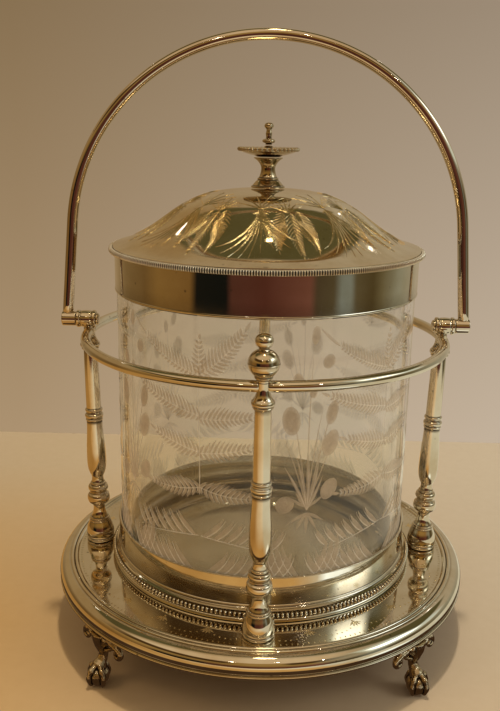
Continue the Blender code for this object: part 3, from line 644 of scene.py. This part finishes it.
def foot_shapes():
    """The cast foot in parts that overlap: ball, talons, leg, shell bracket and scrolled wings."""
    parts = [bead((BALL_CIRCLE, 0, BALL_HEIGHT), (BALL_RADIUS - 0.25,) * 3, rings=20, segments=32)]
    parts.append(limb([(88.6, 0, 22.5), (88.9, 0, 19.6), (88.6, 0, 16.6), (88.1, 0, 13.6), (88.9, 0, 10.9),
                       (90.4, 0, 8.6)], 5, [0, 0.2, 0.45, 0.65, 0.85, 1], [4.4, 3.7, 2.6, 1.9, 2.2, 3.0],
                      20, upward=(1, 0, 0)))
    for turn in (-78, 0, 78, 180):
        tilts = [76, 62, 46, 28, 8, -14, -34, -48]
        parts.append(limb([ball_point(turn, t, BALL_RADIUS + 0.1) for t in tilts], 3,
                          [0, 0.18, 0.33, 0.47, 0.62, 0.76, 0.9, 1],
                          [1.35, 1.05, 1.35, 0.95, 1.2, 0.85, 0.8, 0.35], 12))
    for turn, reach in ((-62, 0.95), (-38, 1.0), (-13, 1.0), (13, 1.0), (38, 1.0), (62, 0.95)):
        a = radians(turn)
        out = cos(a) * 2.6 * reach
        aside = sin(a) * 7.6 * reach
        parts.append(limb([(88.7, 0.10 * aside, 15.2), (89.2 + 0.35 * out, 0.42 * aside, 18.2),
                           (88.9 + 0.75 * out, 0.78 * aside, 20.9), (88.6 + 0.95 * out, aside, 22.3)], 4,
                          [0, 0.5, 1], [0.55, 0.95, 1.3], 10))
    scroll = [(along, FOOT_TOP - drop) for along, drop in
              ((1.5, 1.2), (5.0, 1.5), (8.2, 2.1), (10.6, 3.1), (12.0, 4.4), (12.2, 5.9), (11.0, 6.9),
               (9.6, 6.5), (9.3, 5.3), (10.2, 4.8))]
    lower = [(0.6, 15.4), (3.2, 16.2), (5.8, 17.6), (8.0, 19.4), (9.8, 21.2)]
    web = [(1.0, 20.2), (4.0, 20.6), (7.5, 21.4), (10.0, 22.2)]
    for way in (-1, 1):
        parts.append(limb(under_border(way, 0, scroll), 4, [0, 0.35, 0.6, 0.85, 1],
                          [1.9, 1.4, 1.15, 0.85, 1.0], 14))
        parts.append(limb(under_border(way, 0.3, lower), 4, [0, 0.5, 1], [1.1, 0.8, 1.0], 10))
        parts.append(limb(under_border(way, 0.6, web), 4, [0, 1], [1.5, 1.5], 10))
    return joined(parts)


def build_feet():
    """One cast foot, fused and softened, then set under the border four times."""
    model = put("cast_foot_model", mesh_of("cast_foot_model", foot_shapes()))
    fuse = model.modifiers.new("Fuse", "REMESH")
    fuse.mode = "VOXEL"
    fuse.voxel_size = 0.27
    soften = model.modifiers.new("Soften", "SMOOTH")
    soften.factor = 0.5
    soften.iterations = 2
    bpy.context.view_layer.update()
    fused = bpy.data.meshes.new_from_object(model.evaluated_get(bpy.context.evaluated_depsgraph_get()))
    bpy.data.objects.remove(model)
    points = [(x, y, min(max(z, 0.0), FOOT_TOP)) for x, y, z in (v.co for v in fused.vertices)]
    quads = [list(face.vertices) for face in fused.polygons]
    post = lathe([(0, 30.4), (1.6, 30.4), (1.6, 21.5), (0, 21.5)], 24)
    post = ([(x + 85.8, y, z) for x, y, z in post[0]], post[1])
    shape = joined([(points, quads), post])
    for side, turn in FOOT_TURNS.items():
        make_piece("cast_foot_" + side, shape, "foot_" + side, "foot_metal",
                   matrix=Matrix.Rotation(radians(turn), 4, "Z"), sharp=60)


# Jar and lid

def build_jar():
    glass = outline(
        (0, 38), [(30, 38), (56, 38.3)], [(58.4, 38.9), (59.3, 40.2), (59.5, 42)], (59.5, 165.3),
        [(59.8, 165.85), (60.5, 166), (61.2, 165.8), (61.4, 165.2)], (61.4, 153.3), (63.5, 152.5),
        (63.5, 34.4), [(63.3, 33.3), (62.7, 32.6), (61.6, 32.2)], (52, 32.2),
        [(48, 32.6), (25, 33.1), (0, 33.2)])
    make_piece("clear_jar", lathe(glass, WIDE_STEPS), "glass_jar", "jar_glass", "jar")
    collar = outline(
        (63.6, 170), [(63.75, 170.17), (64, 170.2), (64.2, 170)], (64.2, 153.9),
        [(64.34, 153.6), (64.34, 153.2), (64.2, 152.95)], (63.65, 152.95), (63.6, 170))
    make_piece("plain_collar", lathe(collar, WIDE_STEPS, closed=True), "jar_collar", "collar_metal", "jar")


DOME_SHARES = ((0, 1), (0.07, 0.999), (0.14, 0.994), (0.262, 0.966), (0.385, 0.902), (0.493, 0.787),
               (0.586, 0.643), (0.678, 0.46), (0.770, 0.281), (0.863, 0.14), (0.94, 0.047), (1, 0))
DOME_LINE = [(r * DOME_RADIUS, DOME_EDGE_TOP + h * DOME_RISE) for r, h in DOME_SHARES]
DOME_OUTER = outline(DOME_LINE[0], DOME_LINE[1:], per=8)
DOME_R, DOME_Z = zip(*DOME_OUTER)


def dome_height(radius):
    return float(np.interp(radius, DOME_R, DOME_Z))


def build_lid():
    inner = [(r, z - 1.15) for r, z in DOME_OUTER if r < 61.0][::-1]
    dome = DOME_OUTER + outline((DOME_RADIUS, DOME_EDGE_TOP), (DOME_RADIUS, 170.5), (61.2, 170.5)) + inner
    make_piece("ogee_dome", lathe(dome, WIDE_STEPS), "lid_dome", "lid_metal", "lid")
    rim = outline(
        (65.1, 170.95), (65.6, 171),
        [(66.15, 170.85), (66.5, 170.4), (66.6, 169.9), (66.5, 169.4), (66.15, 169), (65.6, 168.9)],
        (65.1, 168.95), per=3)

    def teeth(angle, index):
        depth = max(0.0, rim[index][0] - 65.75)
        return -0.80 * depth * (0.5 - 0.5 * cos(TEETH * angle))

    make_piece("toothed_rim", lathe(rim, TEETH * 6, closed=True, wave=teeth), "lid_reeded_rim", "lid_metal",
               "lid", look=REEDED, sharp=50)
    bezel = outline(
        (57.9, 172.4), (58.9, 172.4), (58.9, 165),
        [(58.75, 164.6), (58.4, 164.5), (58, 164.6), (57.9, 165)], (57.9, 172.4))
    make_piece("bezel_ring", lathe(bezel, closed=True), "lid_bezel", "lid_metal", "lid")


def build_finial():
    stem = outline(
        (0, 12.3), (6, 12.3), [(6.05, 12), (5.8, 11.75)],
        [(4.9, 11.1), (4, 10.2), (3.3, 9.1), (3, 8), (3.1, 6.6), (3.5, 5), (3.9, 4.1)],
        [(4.35, 3.9), (4.45, 3.55), (4.3, 3.2)], [(5, 2.7), (5.9, 1.7), (6.6, 0.8)],
        [(7.05, 0.65), (7.1, 0.3), (7, 0)], (0, 0))
    stem = [(r, z + STEM_FOOT) for r, z in stem]
    stud = lathe([(0, STEM_FOOT), (1.5, STEM_FOOT), (1.5, 190.4), (0, 190.4)], 24)
    make_piece("finial_waist", joined([lathe(stem, SMALL_STEPS), stud]), "finial_stem", "finial_metal",
               "lid")
    disc = outline(
        (0, 4.5), [(1.5, 4.35), (2, 3.9), (2.6, 3.65)], [(7, 3.55), (11.6, 3.75)],
        [(11.9, 3.3), (12, 2.9), (11.9, 2.4)], [(10.5, 1.7), (8, 0.9), (5.6, 0.3), (5, 0)], (0, 0))
    parts = [lathe([(r, z + DISC_FOOT) for r, z in disc], 108)]
    parts += ring_of_beads(DISC_BEADS, 12.05, DISC_FOOT + 3.0, (0.98, 0.92, 0.85))
    make_piece("beaded_disc", joined(parts), "finial_disc", "finial_metal", "lid")
    knob = outline(
        (0, 8.9), [(0.8, 8.8), (1.6, 8.35), (1.95, 7.6), (1.75, 6.9), (1.2, 6.35)],
        [(1.05, 5.9), (1.2, 5.2), (1.35, 4.4), (1.2, 3.4), (1.15, 2.6)],
        [(1.7, 2.35), (2.5, 2), (2.7, 1.5), (2.5, 1), (1.7, 0.65)], [(1.3, 0.45), (1.5, 0)], (0, 0))
    make_piece("finial_top_knob", lathe([(r, z + KNOB_FOOT) for r, z in knob], 48), "finial_knob",
               "finial_metal", "lid")


# Engraving: leaf-shaped cuts laid on a surface

class Bed:
    """Collects cuts. place(u, v, rise) gives the point for flat coordinates u, v in millimetres."""

    def __init__(self, rise):
        self.place = None
        self.rise = rise
        self.verts = []
        self.faces = []

    def leaf(self, start, heading, length, width, bend=0.0, full=0.8, steps=5):
        """A pointed leaf with a ridge along its middle. Headings are degrees from +u towards +v."""
        x, y = start
        base = len(self.verts)
        rows = []
        angle = radians(heading)
        turn = radians(bend) / steps
        for i in range(steps + 1):
            t = i / steps
            half = width / 2 * sin(pi * min(0.97, max(0.03, t)) ** full)
            nx, ny = -sin(angle) * half, cos(angle) * half
            rows.append(((x - nx, y - ny, 0.0), (x, y, self.rise), (x + nx, y + ny, 0.0)))
            x += cos(angle) * length / steps
            y += sin(angle) * length / steps
            angle += turn
        for row in rows:
            self.verts.extend(self.place(*point) for point in row)
        for i in range(steps):
            a = base + 3 * i
            self.faces.append([a, a + 3, a + 4, a + 1])
            self.faces.append([a + 1, a + 4, a + 5, a + 2])

    def oval(self, centre, width, height, tilt=90.0, count=16):
        """A bud: a cut rim with a raised middle."""
        base = len(self.verts)
        c, s = cos(radians(tilt)), sin(radians(tilt))
        for share, rise in ((1.0, 0.0), (0.72, self.rise), (0.0, 0.3 * self.rise)):
            for i in range(count if share else 1):
                a = 2 * pi * i / count
                p, q = share * height / 2 * cos(a), share * width / 2 * sin(a)
                self.verts.append(self.place(centre[0] + c * p - s * q, centre[1] + s * p + c * q, rise))
        for i in range(count):
            j = (i + 1) % count
            self.faces.append([base + i, base + j, base + count + j, base + count + i])
            self.faces.append([base + count + i, base + count + j, base + 2 * count])

    def fern(self, root, heading, length, bend, pairs, sizes, width, lean=62, curl=14, tip=0.5, edge=None):
        """A frond: a bent stalk with leaflets like a comb, sizes[0] long on its left, sizes[1] right."""
        x, y = root
        angle = heading
        step = length / pairs
        for i in range(pairs):
            t = (i + 0.5) / pairs
            share = min(1.0, 0.5 + 2.2 * t) * (1.0 - 0.62 * max(0.0, t - 0.25) / 0.75)
            ahead = (cos(radians(angle)), sin(radians(angle)))
            for way, size in ((1, sizes[0]), (-1, sizes[1])):
                out = angle + way * (lean - 12 * t)
                self.leaf((x, y), out, size * share, width, bend=-way * curl, full=0.6, steps=3)
                if edge:
                    side = (x + ahead[0] * width * 0.55, y + ahead[1] * width * 0.55)
                    edge.leaf(side, out, size * share * 0.92, 0.40, bend=-way * curl, full=0.4, steps=3)
            x += ahead[0] * step
            y += ahead[1] * step
            angle += bend / pairs
        (edge or self).leaf(root, heading, length, 0.5 if edge else width * 0.8, bend, full=0.5, steps=12)
        self.leaf((x, y), angle, max(sizes) * tip, width, bend * 0.4)


def around(angle, radius, height):
    return (radius * sin(angle), -radius * cos(angle), height)


def place_on_jar(azimuth):
    def place(u, v, rise):
        return around(radians(azimuth) + u / JAR_RADIUS, JAR_RADIUS + JAR_LIFT + rise, v)
    return place


def place_on_dome(azimuth):
    def place(u, v, rise):
        r = max(v, 1.0)
        return around(radians(azimuth) + u / max(v, 5.0), r, dome_height(r) + DOME_LIFT + rise)
    return place


def place_on_plate(azimuth):
    def place(u, v, rise):
        return around(radians(azimuth) + u / v, v, PLATE_TOP + PLATE_LIFT + rise)
    return place


# Ferns on the jar: root, heading, length, bend, pairs of leaflets, their lengths, width, curl, tip
JAR_FERNS = (
    ((0, 130), 168, 29, -26, 17, (2.8, 7.2), 1.15, 6, 1.7),
    ((0, 130), 36, 25, 22, 14, (7.6, 5.6), 1.3, 14, 0.6),
    ((0, 131), 97, 13, -14, 7, (4.4, 4.4), 1.2, 14, 0.5),
    ((0, 114), 170, 31, -14, 17, (5.0, 7.0), 1.25, 14, 0.6),
    ((0, 113), 2, 21, 10, 12, (7.0, 5.2), 1.25, 14, 0.6),
    ((0, 99.4), 172, 22, -12, 12, (5.0, 7.0), 1.3, 14, 0.6),
    ((0, 99), 6, 21, 12, 11, (7.0, 5.0), 1.3, 14, 0.6),
    ((0, 85), 196, 24, -22, 12, (5.0, 7.2), 1.4, 18, 0.7),
    ((0, 85), -16, 24, 22, 12, (7.2, 5.0), 1.4, 18, 0.7))
# Buds on the jar: centre, width, height, tilt
JAR_BUDS = (
    ((1.4, 146.7), 3.4, 7.0, 86), ((7.0, 136.5), 4.9, 5.8, 62), ((-7.0, 114.1), 7.0, 11.5, 98),
    ((9.2, 116.3), 5.0, 9.7, 78), ((9.0, 104.3), 6.6, 10.8, 72), ((9.0, 85.4), 6.6, 9.3, 60),
    ((-8.7, 80.2), 7.5, 7.0, 130), ((-4.5, 129), 4.2, 7.4, 104), ((1.2, 126), 3.4, 6.8, 88))


def row_of_leaves(bed, line, way, count, start, step, lean, length, width, aside, edge, bend, steps):
    """Broad leaves side by side, each with a bright edge. lean and length are a value and its change."""
    for i in range(count):
        x, y = way * (start[0] + step[0] * i), start[1] + step[1] * i
        heading = 90 - way * (lean[0] + lean[1] * i)
        reach = length[0] + length[1] * i
        bed.leaf((x, y), heading, reach, width, way * bend, steps=steps)
        line.leaf((x + way * aside, y), heading, reach - 1, edge, way * bend, full=0.5, steps=steps)


def engrave_jar():
    bed, line = Bed(0.06), Bed(0.09)
    for k in range(REPEATS):
        bed.place = line.place = place_on_jar(-22 + 360 / REPEATS * k)
        line.leaf((0, 82), 90, 49, 0.45, 3, full=0.5, steps=12)
        for root, heading, length, bend, pairs, sizes, width, curl, tip in JAR_FERNS:
            bed.fern(root, heading, length, bend, pairs, sizes, width, curl=curl, tip=tip, edge=line)
        for way in (-1, 1):
            row_of_leaves(bed, line, way, 8, (1.2, 47.2), (4.1, 0.15), (60, -1.5), (16.5, -0.4), 2.9,
                          1.9, 0.75, 44, 8)
            row_of_leaves(bed, line, way, 7, (1.6, 64.5), (4.4, -0.5), (58, -1.5), (12.5, -0.5), 2.1,
                          1.5, 0.6, 34, 7)
            line.leaf((way * 0.5, 64.5), 90 - way * 96, 32, 0.45, -way * 8, full=0.5, steps=10)
        bed.place = line.place = place_on_jar(16 + 360 / REPEATS * k)
        for (x, y), width in (((-9.5, 95.8), 1.3), ((-5.0, 100.0), 1.5), ((-0.3, 99.7), 1.5),
                              ((4.2, 98.0), 1.5), ((6.1, 91.6), 1.3)):
            heading = degrees(atan2(y - 77.5, x)) - 5
            length = hypot(x, y - 77.5)
            bed.leaf((0, 77.5), heading, length, width, 10, steps=7)
            line.leaf((0, 77.5), heading, length, 0.4, 10, full=0.5, steps=7)
        for heading, length, bend in ((97, 48, 6), (86, 44, -8), (91, 66, -4), (80, 60, -10),
                                      (72, 34, -6), (104, 34, 10)):
            bed.leaf((0, 78), heading, length, 0.6, bend, full=0.6, steps=14)
        for centre, wide, high, tilt in JAR_BUDS:
            bed.oval(centre, wide, high, tilt)
            bed.oval(centre, wide * 0.72, high * 0.78, tilt)
        for heading, length in ((150, 9), (128, 8), (54, 8), (30, 9)):
            bed.leaf((0, 78.5), heading, length, 1.2, (90 - heading) * 0.2, full=0.9)
        for i in range(5):
            bed.leaf((0, 76.5), -154 + 32 * i, 8.5, 1.3, (2 - i) * 6)
        for way in (-1, 1):
            row_of_leaves(bed, line, way, 3, (2.0, 48.4), (4.0, 0.8), (42, -6), (17.5, 0), 2.6, 1.7, 0.45,
                          38, 8)
    for name, cuts, look in (("jar_engraving", bed, FROSTED), ("jar_engraving_edges", line, CUT_EDGE)):
        make_piece(name, (cuts.verts, cuts.faces), slot="jar_glass", body="jar", look=look, sharp=25,
                   solid=False)


def engrave_dome():
    bed = Bed(0.13)
    for k in range(8):
        bed.place = place_on_dome(45 * k - 4)
        for heading, length, bend in ((106, 25, 54), (102, 26, 44), (98, 26, 34), (94, 25, 24),
                                      (90, 24, 14), (84, 21, 4), (78, 19, -16), (70, 22, -34),
                                      (62, 23, -44)):
            bed.leaf((0, 34.0), heading, length, 1.25, bend, full=0.5, steps=9)
        for heading, length, bend in ((112, 13, 26), (66, 11, -30)):
            bed.leaf((0.4, 38.0), heading, length, 2.4, bend, full=0.9, steps=6)
        for i in range(6):
            aside = i - 2.5
            bed.leaf((0, 33.5), -90 - aside * 23, 13.5 - abs(aside), 0.75, -aside * 12, full=0.6, steps=6)
        for i in range(5):
            bed.leaf((0, 34.5), 30 + 30 * i, 3.4, 1.2, full=0.7, steps=3)
        bed.place = place_on_dome(45 * k + 13)
        for root, heading, length, bend in (((-2.5, 35.5), 114, 18, -18), ((0.6, 36.0), 92, 20, -6),
                                            ((3.4, 35.0), 68, 19, 20), ((-2, 40.5), 132, 11, -34),
                                            ((2.5, 40.0), 46, 12, 40)):
            bed.fern(root, heading, length, bend, 13, (4.8, 4.8), 0.62, lean=48, curl=12)
        for i in range(7):
            aside = i - 3
            bed.leaf((0, 35.5), -90 - aside * 17, 9.5 - 0.7 * abs(aside), 0.8, -aside * 8, full=0.6)
    make_piece("dome_bright_cutting", (bed.verts, bed.faces), slot="lid_metal", body="lid", look=BRIGHT_CUT,
               sharp=12, solid=False)


def engrave_plate():
    bed = Bed(0.05)
    swags = 24
    for k in range(swags):
        bed.place = place_on_plate(360 / swags * (k + 0.5))
        for i in range(9):
            t = (i - 4) / 4.6
            bed.oval((t * 10.2, 77.3 - 3.4 * (t * t) + 2.2), 0.75, 0.75, count=8)
        bed.place = place_on_plate(360 / swags * k)
        for i in range(5):
            bed.leaf((0, 74.6), 90 + (i - 2) * 27, 3.4, 0.9, full=0.7)
        bed.oval((0, 74.0), 1.0, 1.0, count=8)
    for i in range(240):
        bed.place = place_on_plate(1.5 * i)
        bed.leaf((0, 81.6), 90, 1.1, 0.6, steps=2)
    make_piece("plate_bright_cutting", (bed.verts, bed.faces), look=BRIGHT_CUT, sharp=20, solid=False)


# Room, light and camera

FLOOR = tone(196, 171, 135)
EVEN_LEVEL = (0.31, 0.293, 0.264, 1.0)


def visible_table(n, place, x, y, out):
    """Pale, with painted warm lamplight close by on the left."""
    # Painted warm light: a more orange tone close to the part on the left.
    left = n.fade(y, -0.02, 0.16, tone(207, 160, 94), tone(205, 178, 138))
    left = n.fade(out, 0.165, 0.35, left, tone(208, 182, 146))
    plain = n.fade(x, -0.16, 0.16, left, tone(217, 197, 168))
    grain = n.times(n.grey(n.noise(place, 180, 4), 0.3, 0.7), 0.5)
    colour = n.mix(grain, plain, n.mix(1.0, plain, tone(249, 247, 243), "MULTIPLY"))
    return n.out("BsdfPrincipled", {"Base Color": colour, "Roughness": 0.7, "Specular IOR Level": 0.2})


def painted_table_reflection(n, place, x, y, out):
    """A painted reflection of the table that glows for mirrored rays: painted shadow under the plate,
    painted warm light to the left, a painted highlight spot at the right, and clear beyond its near part.
    """
    near = n.times(n.grey(y, -0.50, -0.43), n.grey(n.math("ABSOLUTE", x), 0.50, 0.42))
    colour = n.fade(x, -0.16, -0.04, tone(176, 130, 68), tone(208, 162, 96))
    further = n.fade(x, -0.26, 0.06, tone(204, 160, 98), tone(236, 214, 176))
    colour = n.fade(y, -0.17, -0.25, colour, further)
    colour = n.fade(x, 0.05, 0.10, colour, tone(216, 208, 182))
    spot = n.add("VectorMath", {0: place, 1: (0.103, -0.092, 0.0)}, operation="DISTANCE").outputs["Value"]
    # Painted highlight: a bright spot where a window shows in the metal.
    colour = n.fade(spot, 0.034, 0.020, colour, (1.3, 1.35, 1.25, 1.0))
    # Painted shadow of the plate on the table.
    colour = n.fade(out, 0.134, 0.126, colour, tone(70, 50, 32))
    # The painted reflection glows by itself; no lamp lights it.
    painted_glow = n.out("Emission", {"Color": colour})
    return n.out("MixShader", {0: near, 1: n.out("BsdfTransparent"), 2: painted_glow})


def build_floor():
    wide, front, back = 1.6, -1.6, 0.22
    corners = [(-wide, front, 0), (wide, front, 0), (wide, back, 0), (-wide, back, 0)]
    mesh = mesh_of("floor", (corners, [[0, 1, 2, 3]]))
    material = bpy.data.materials.new("pale_floor")
    n = Nodes(material)
    place = n.place()
    x, y, z = n.add("SeparateXYZ", {0: place}).outputs
    out = n.add("VectorMath", {0: place}, operation="LENGTH").outputs["Value"]
    path = n.add("LightPath").outputs
    # Mirrored rays see the painted, glowing reflection of the table instead of the lit floor.
    mirrored = n.times(path["Is Glossy Ray"], n.math("LESS_THAN", path["Transmission Depth"], 0.5))
    seen = visible_table(n, place, x, y, out)
    both = n.out("MixShader", {0: mirrored, 1: seen, 2: painted_table_reflection(n, place, x, y, out)})
    n.add("OutputMaterial", {0: both})
    mesh.materials.append(material)
    put("floor", mesh)


# What lies round the table at its own height: azimuth and tone
ROOM = ((-180, (160, 136, 102)), (-150, (156, 130, 92)), (-125, (126, 100, 62)), (-100, (112, 84, 46)),
        (-84, (134, 100, 52)), (-56, (122, 88, 44)), (-51, (26, 24, 18)), (-28, (22, 22, 18)),
        (-24, (84, 50, 38)), (0, (84, 46, 34)), (32, (112, 70, 54)), (37, (76, 62, 42)), (50, (86, 74, 50)),
        (56, (124, 126, 114)), (64, (128, 130, 118)), (68, (96, 84, 58)), (84, (84, 70, 42)),
        (94, (110, 98, 68)), (116, (150, 146, 124)), (148, (178, 164, 138)), (180, (160, 136, 102)))


def mirrored_room(n, x, y, z, direct):
    """Warm walls, a bright pane with a brighter core at the right, and a dark patch of ceiling."""
    turn = n.math("DEGREES", n.math("ARCTAN2", x, n.times(y, -1.0)))
    share = n.math("ADD", n.math("DIVIDE", turn, 360.0), 0.5)
    level = n.ramp(share, [((azimuth + 180) / 360, tone(*colour)) for azimuth, colour in ROOM])
    ahead = n.fade(z, 0.60, 0.68, tone(158, 124, 68), tone(212, 184, 144))
    middle = n.grey(n.math("ABSOLUTE", turn), 12.0, 18.0)
    dark = n.times(n.grey(z, 0.38, 0.44), n.grey(z, 0.66, 0.61), middle)
    ahead = n.mix(dark, ahead, tone(76, 54, 27))
    ahead = n.fade(x, 0.42, 0.70, ahead, tone(172, 162, 136))
    behind = n.fade(x, -0.4, 0.4, tone(160, 132, 90), tone(180, 165, 138))
    room = n.fade(z, 0.10, 0.34, level, n.fade(y, -0.25, 0.10, ahead, behind))
    pane = n.times(n.grey(turn, 56.0, 60.0), n.grey(turn, 118.0, 108.0), n.grey(z, 0.24, 0.30),
                   n.grey(z, 0.78, 0.70))
    room = n.mix(pane, room, tone(214, 219, 203))
    core = n.times(n.grey(turn, 60.0, 66.0), n.grey(turn, 100.0, 88.0), n.grey(z, 0.38, 0.44),
                   n.grey(z, 0.64, 0.58), direct)
    room = n.mix(core, room, (2.6, 2.7, 2.6, 1.0))
    edge = n.math("SUBTRACT", y, n.times(n.math("ABSOLUTE", x), 0.28))
    high = n.math("ADD", n.times(x, 0.12), z)
    ceiling = n.times(n.grey(edge, 0.545, 0.51), n.grey(high, 0.58, 0.63), n.grey(y, 0.0, 0.15))
    return n.mix(ceiling, room, tone(90, 82, 50))


def plain_backdrop(n, x, y, z):
    """A wall that is lighter towards the right and low down, over the tone of the floor."""
    across = n.grey(x, -0.28, 0.28)
    wall = n.fade(z, -0.34, 0.13, n.mix(across, tone(171, 145, 112), tone(195, 177, 155)),
                 n.mix(across, tone(136, 113, 82), tone(157, 140, 120)))
    edge = n.times(n.grey(y, 0.0, 0.35), -0.42)
    return n.mix(n.math("GREATER_THAN", z, edge), FLOOR, wall)


def build_world():
    """A plain backdrop for the camera, the room for mirrored rays and an even level for the rest."""
    world = bpy.data.worlds.new("room")
    bpy.context.scene.world = world
    n = Nodes(world)
    x, y, z = n.add("SeparateXYZ", {0: n.add("TexCoord").outputs["Generated"]}).outputs
    path = n.add("LightPath").outputs
    bent = path["Is Transmission Ray"]
    in_glass = n.math("GREATER_THAN", path["Transmission Depth"], 0.5)
    through = n.times(in_glass, n.grey(z, 0.30, 0.10))
    seen = n.math("MAXIMUM", n.math("MAXIMUM", path["Is Camera Ray"], bent), through)
    mirrored = n.times(path["Is Glossy Ray"], n.opposite(bent), n.opposite(through))
    colour = n.mix(seen, EVEN_LEVEL, plain_backdrop(n, x, y, z))
    colour = n.mix(mirrored, colour, mirrored_room(n, x, y, z, n.opposite(in_glass)))
    n.add("OutputWorld", {0: n.out("Background", {"Color": colour})})


def lamp(name, kind, azimuth, elevation, distance, power, colour, size, mirrored=True):
    """A light that faces the part. One that isn't mirrored doesn't show in metal or through glass."""
    data = bpy.data.lights.new(name, kind)
    data.energy = power
    data.color = colour
    if kind == "AREA":
        data.size = size
    else:
        data.shadow_soft_size = size
    made = put(name, data)
    a, e = radians(azimuth), radians(elevation)
    away = Vector(around(a, cos(e), sin(e)))
    made.location = Vector((0, 0, 0.12)) + away * distance
    made.rotation_euler = away.to_track_quat("Z", "Y").to_euler()
    made.visible_glossy = made.visible_transmission = mirrored


def build_lights():
    lamp("soft_key_above", "AREA", 166, 87, 1.4, 7.8, (1.0, 0.96, 0.88), 0.07, mirrored=False)
    lamp("soft_right", "AREA", 72, 30, 1.3, 3.5, (0.93, 0.97, 1.0), 0.6, mirrored=False)
    lamp("soft_left", "AREA", -70, 40, 1.4, 2.2, (1.0, 0.80, 0.56), 0.6, mirrored=False)
    lamp("warm_ceiling", "AREA", 20, 84, 1.3, 0.8, (1.0, 0.82, 0.46), 0.13)
    lamp("spot_a", "POINT", -14, 38, 1.5, 0.5, (1.0, 0.93, 0.80), 0.024)
    lamp("spot_b", "POINT", 12, 46, 1.5, 0.7, (1.0, 0.93, 0.80), 0.016)
    lamp("spot_c", "POINT", 36, 34, 1.5, 0.7, (1.0, 0.96, 0.90), 0.018)
    lamp("spot_d", "POINT", -140, 40, 1.6, 0.10, (1.0, 0.95, 0.88), 0.018)
    lamp("spot_e", "POINT", 150, 36, 1.6, 0.10, (1.0, 0.97, 0.92), 0.018)
    lamp("warm_spot", "POINT", 174, 79, 1.5, 0.7, (1.0, 0.80, 0.40), 0.028)


def build_camera():
    tilt, pan, roll = (radians(angle) for angle in (CAMERA_TILT, CAMERA_PAN, CAMERA_ROLL))
    ahead = Vector((sin(pan) * cos(tilt), cos(pan) * cos(tilt), -sin(tilt)))
    right = ahead.cross(Vector((0, 0, 1))).normalized()
    up = right.cross(ahead)
    side = right * cos(roll) + up * sin(roll)
    top = up * cos(roll) - right * sin(roll)
    data = bpy.data.cameras.new("camera")
    data.sensor_width = 36.0
    data.lens = CAMERA_LENS
    data.clip_start = 0.01
    camera = put("camera", data)
    turn = Matrix((side, top, -ahead)).transposed()
    camera.matrix_world = Matrix.Translation(CAMERA_PLACE) @ turn.to_4x4()
    bpy.context.scene.camera = camera


def dress_solids():
    """The same looks on the solids, for those that no mesh stands for."""
    for item in frame["record"]["subparts"]:
        solid = frame["nodes"][item["node"]]
        solid.data.materials.clear()
        solid.data.materials.append(LOOKS[item["material_slot"]])


def set_light_paths():
    """The solid glass base needs more bounces than the default."""
    paths = bpy.context.scene.cycles
    paths.max_bounces = paths.transmission_bounces = paths.transparent_max_bounces = LIGHT_BOUNCES
    paths.glossy_bounces = GLOSSY_BOUNCES


build_camera()
build_plate()
build_gallery()
build_columns()
build_rails()
build_pivots()
build_bow()
build_feet()
build_jar()
build_lid()
build_finial()
engrave_jar()
engrave_dome()
engrave_plate()
dress_solids()
build_floor()
build_world()
build_lights()
bpy.context.scene.view_settings.view_transform = "Standard"
set_light_paths()
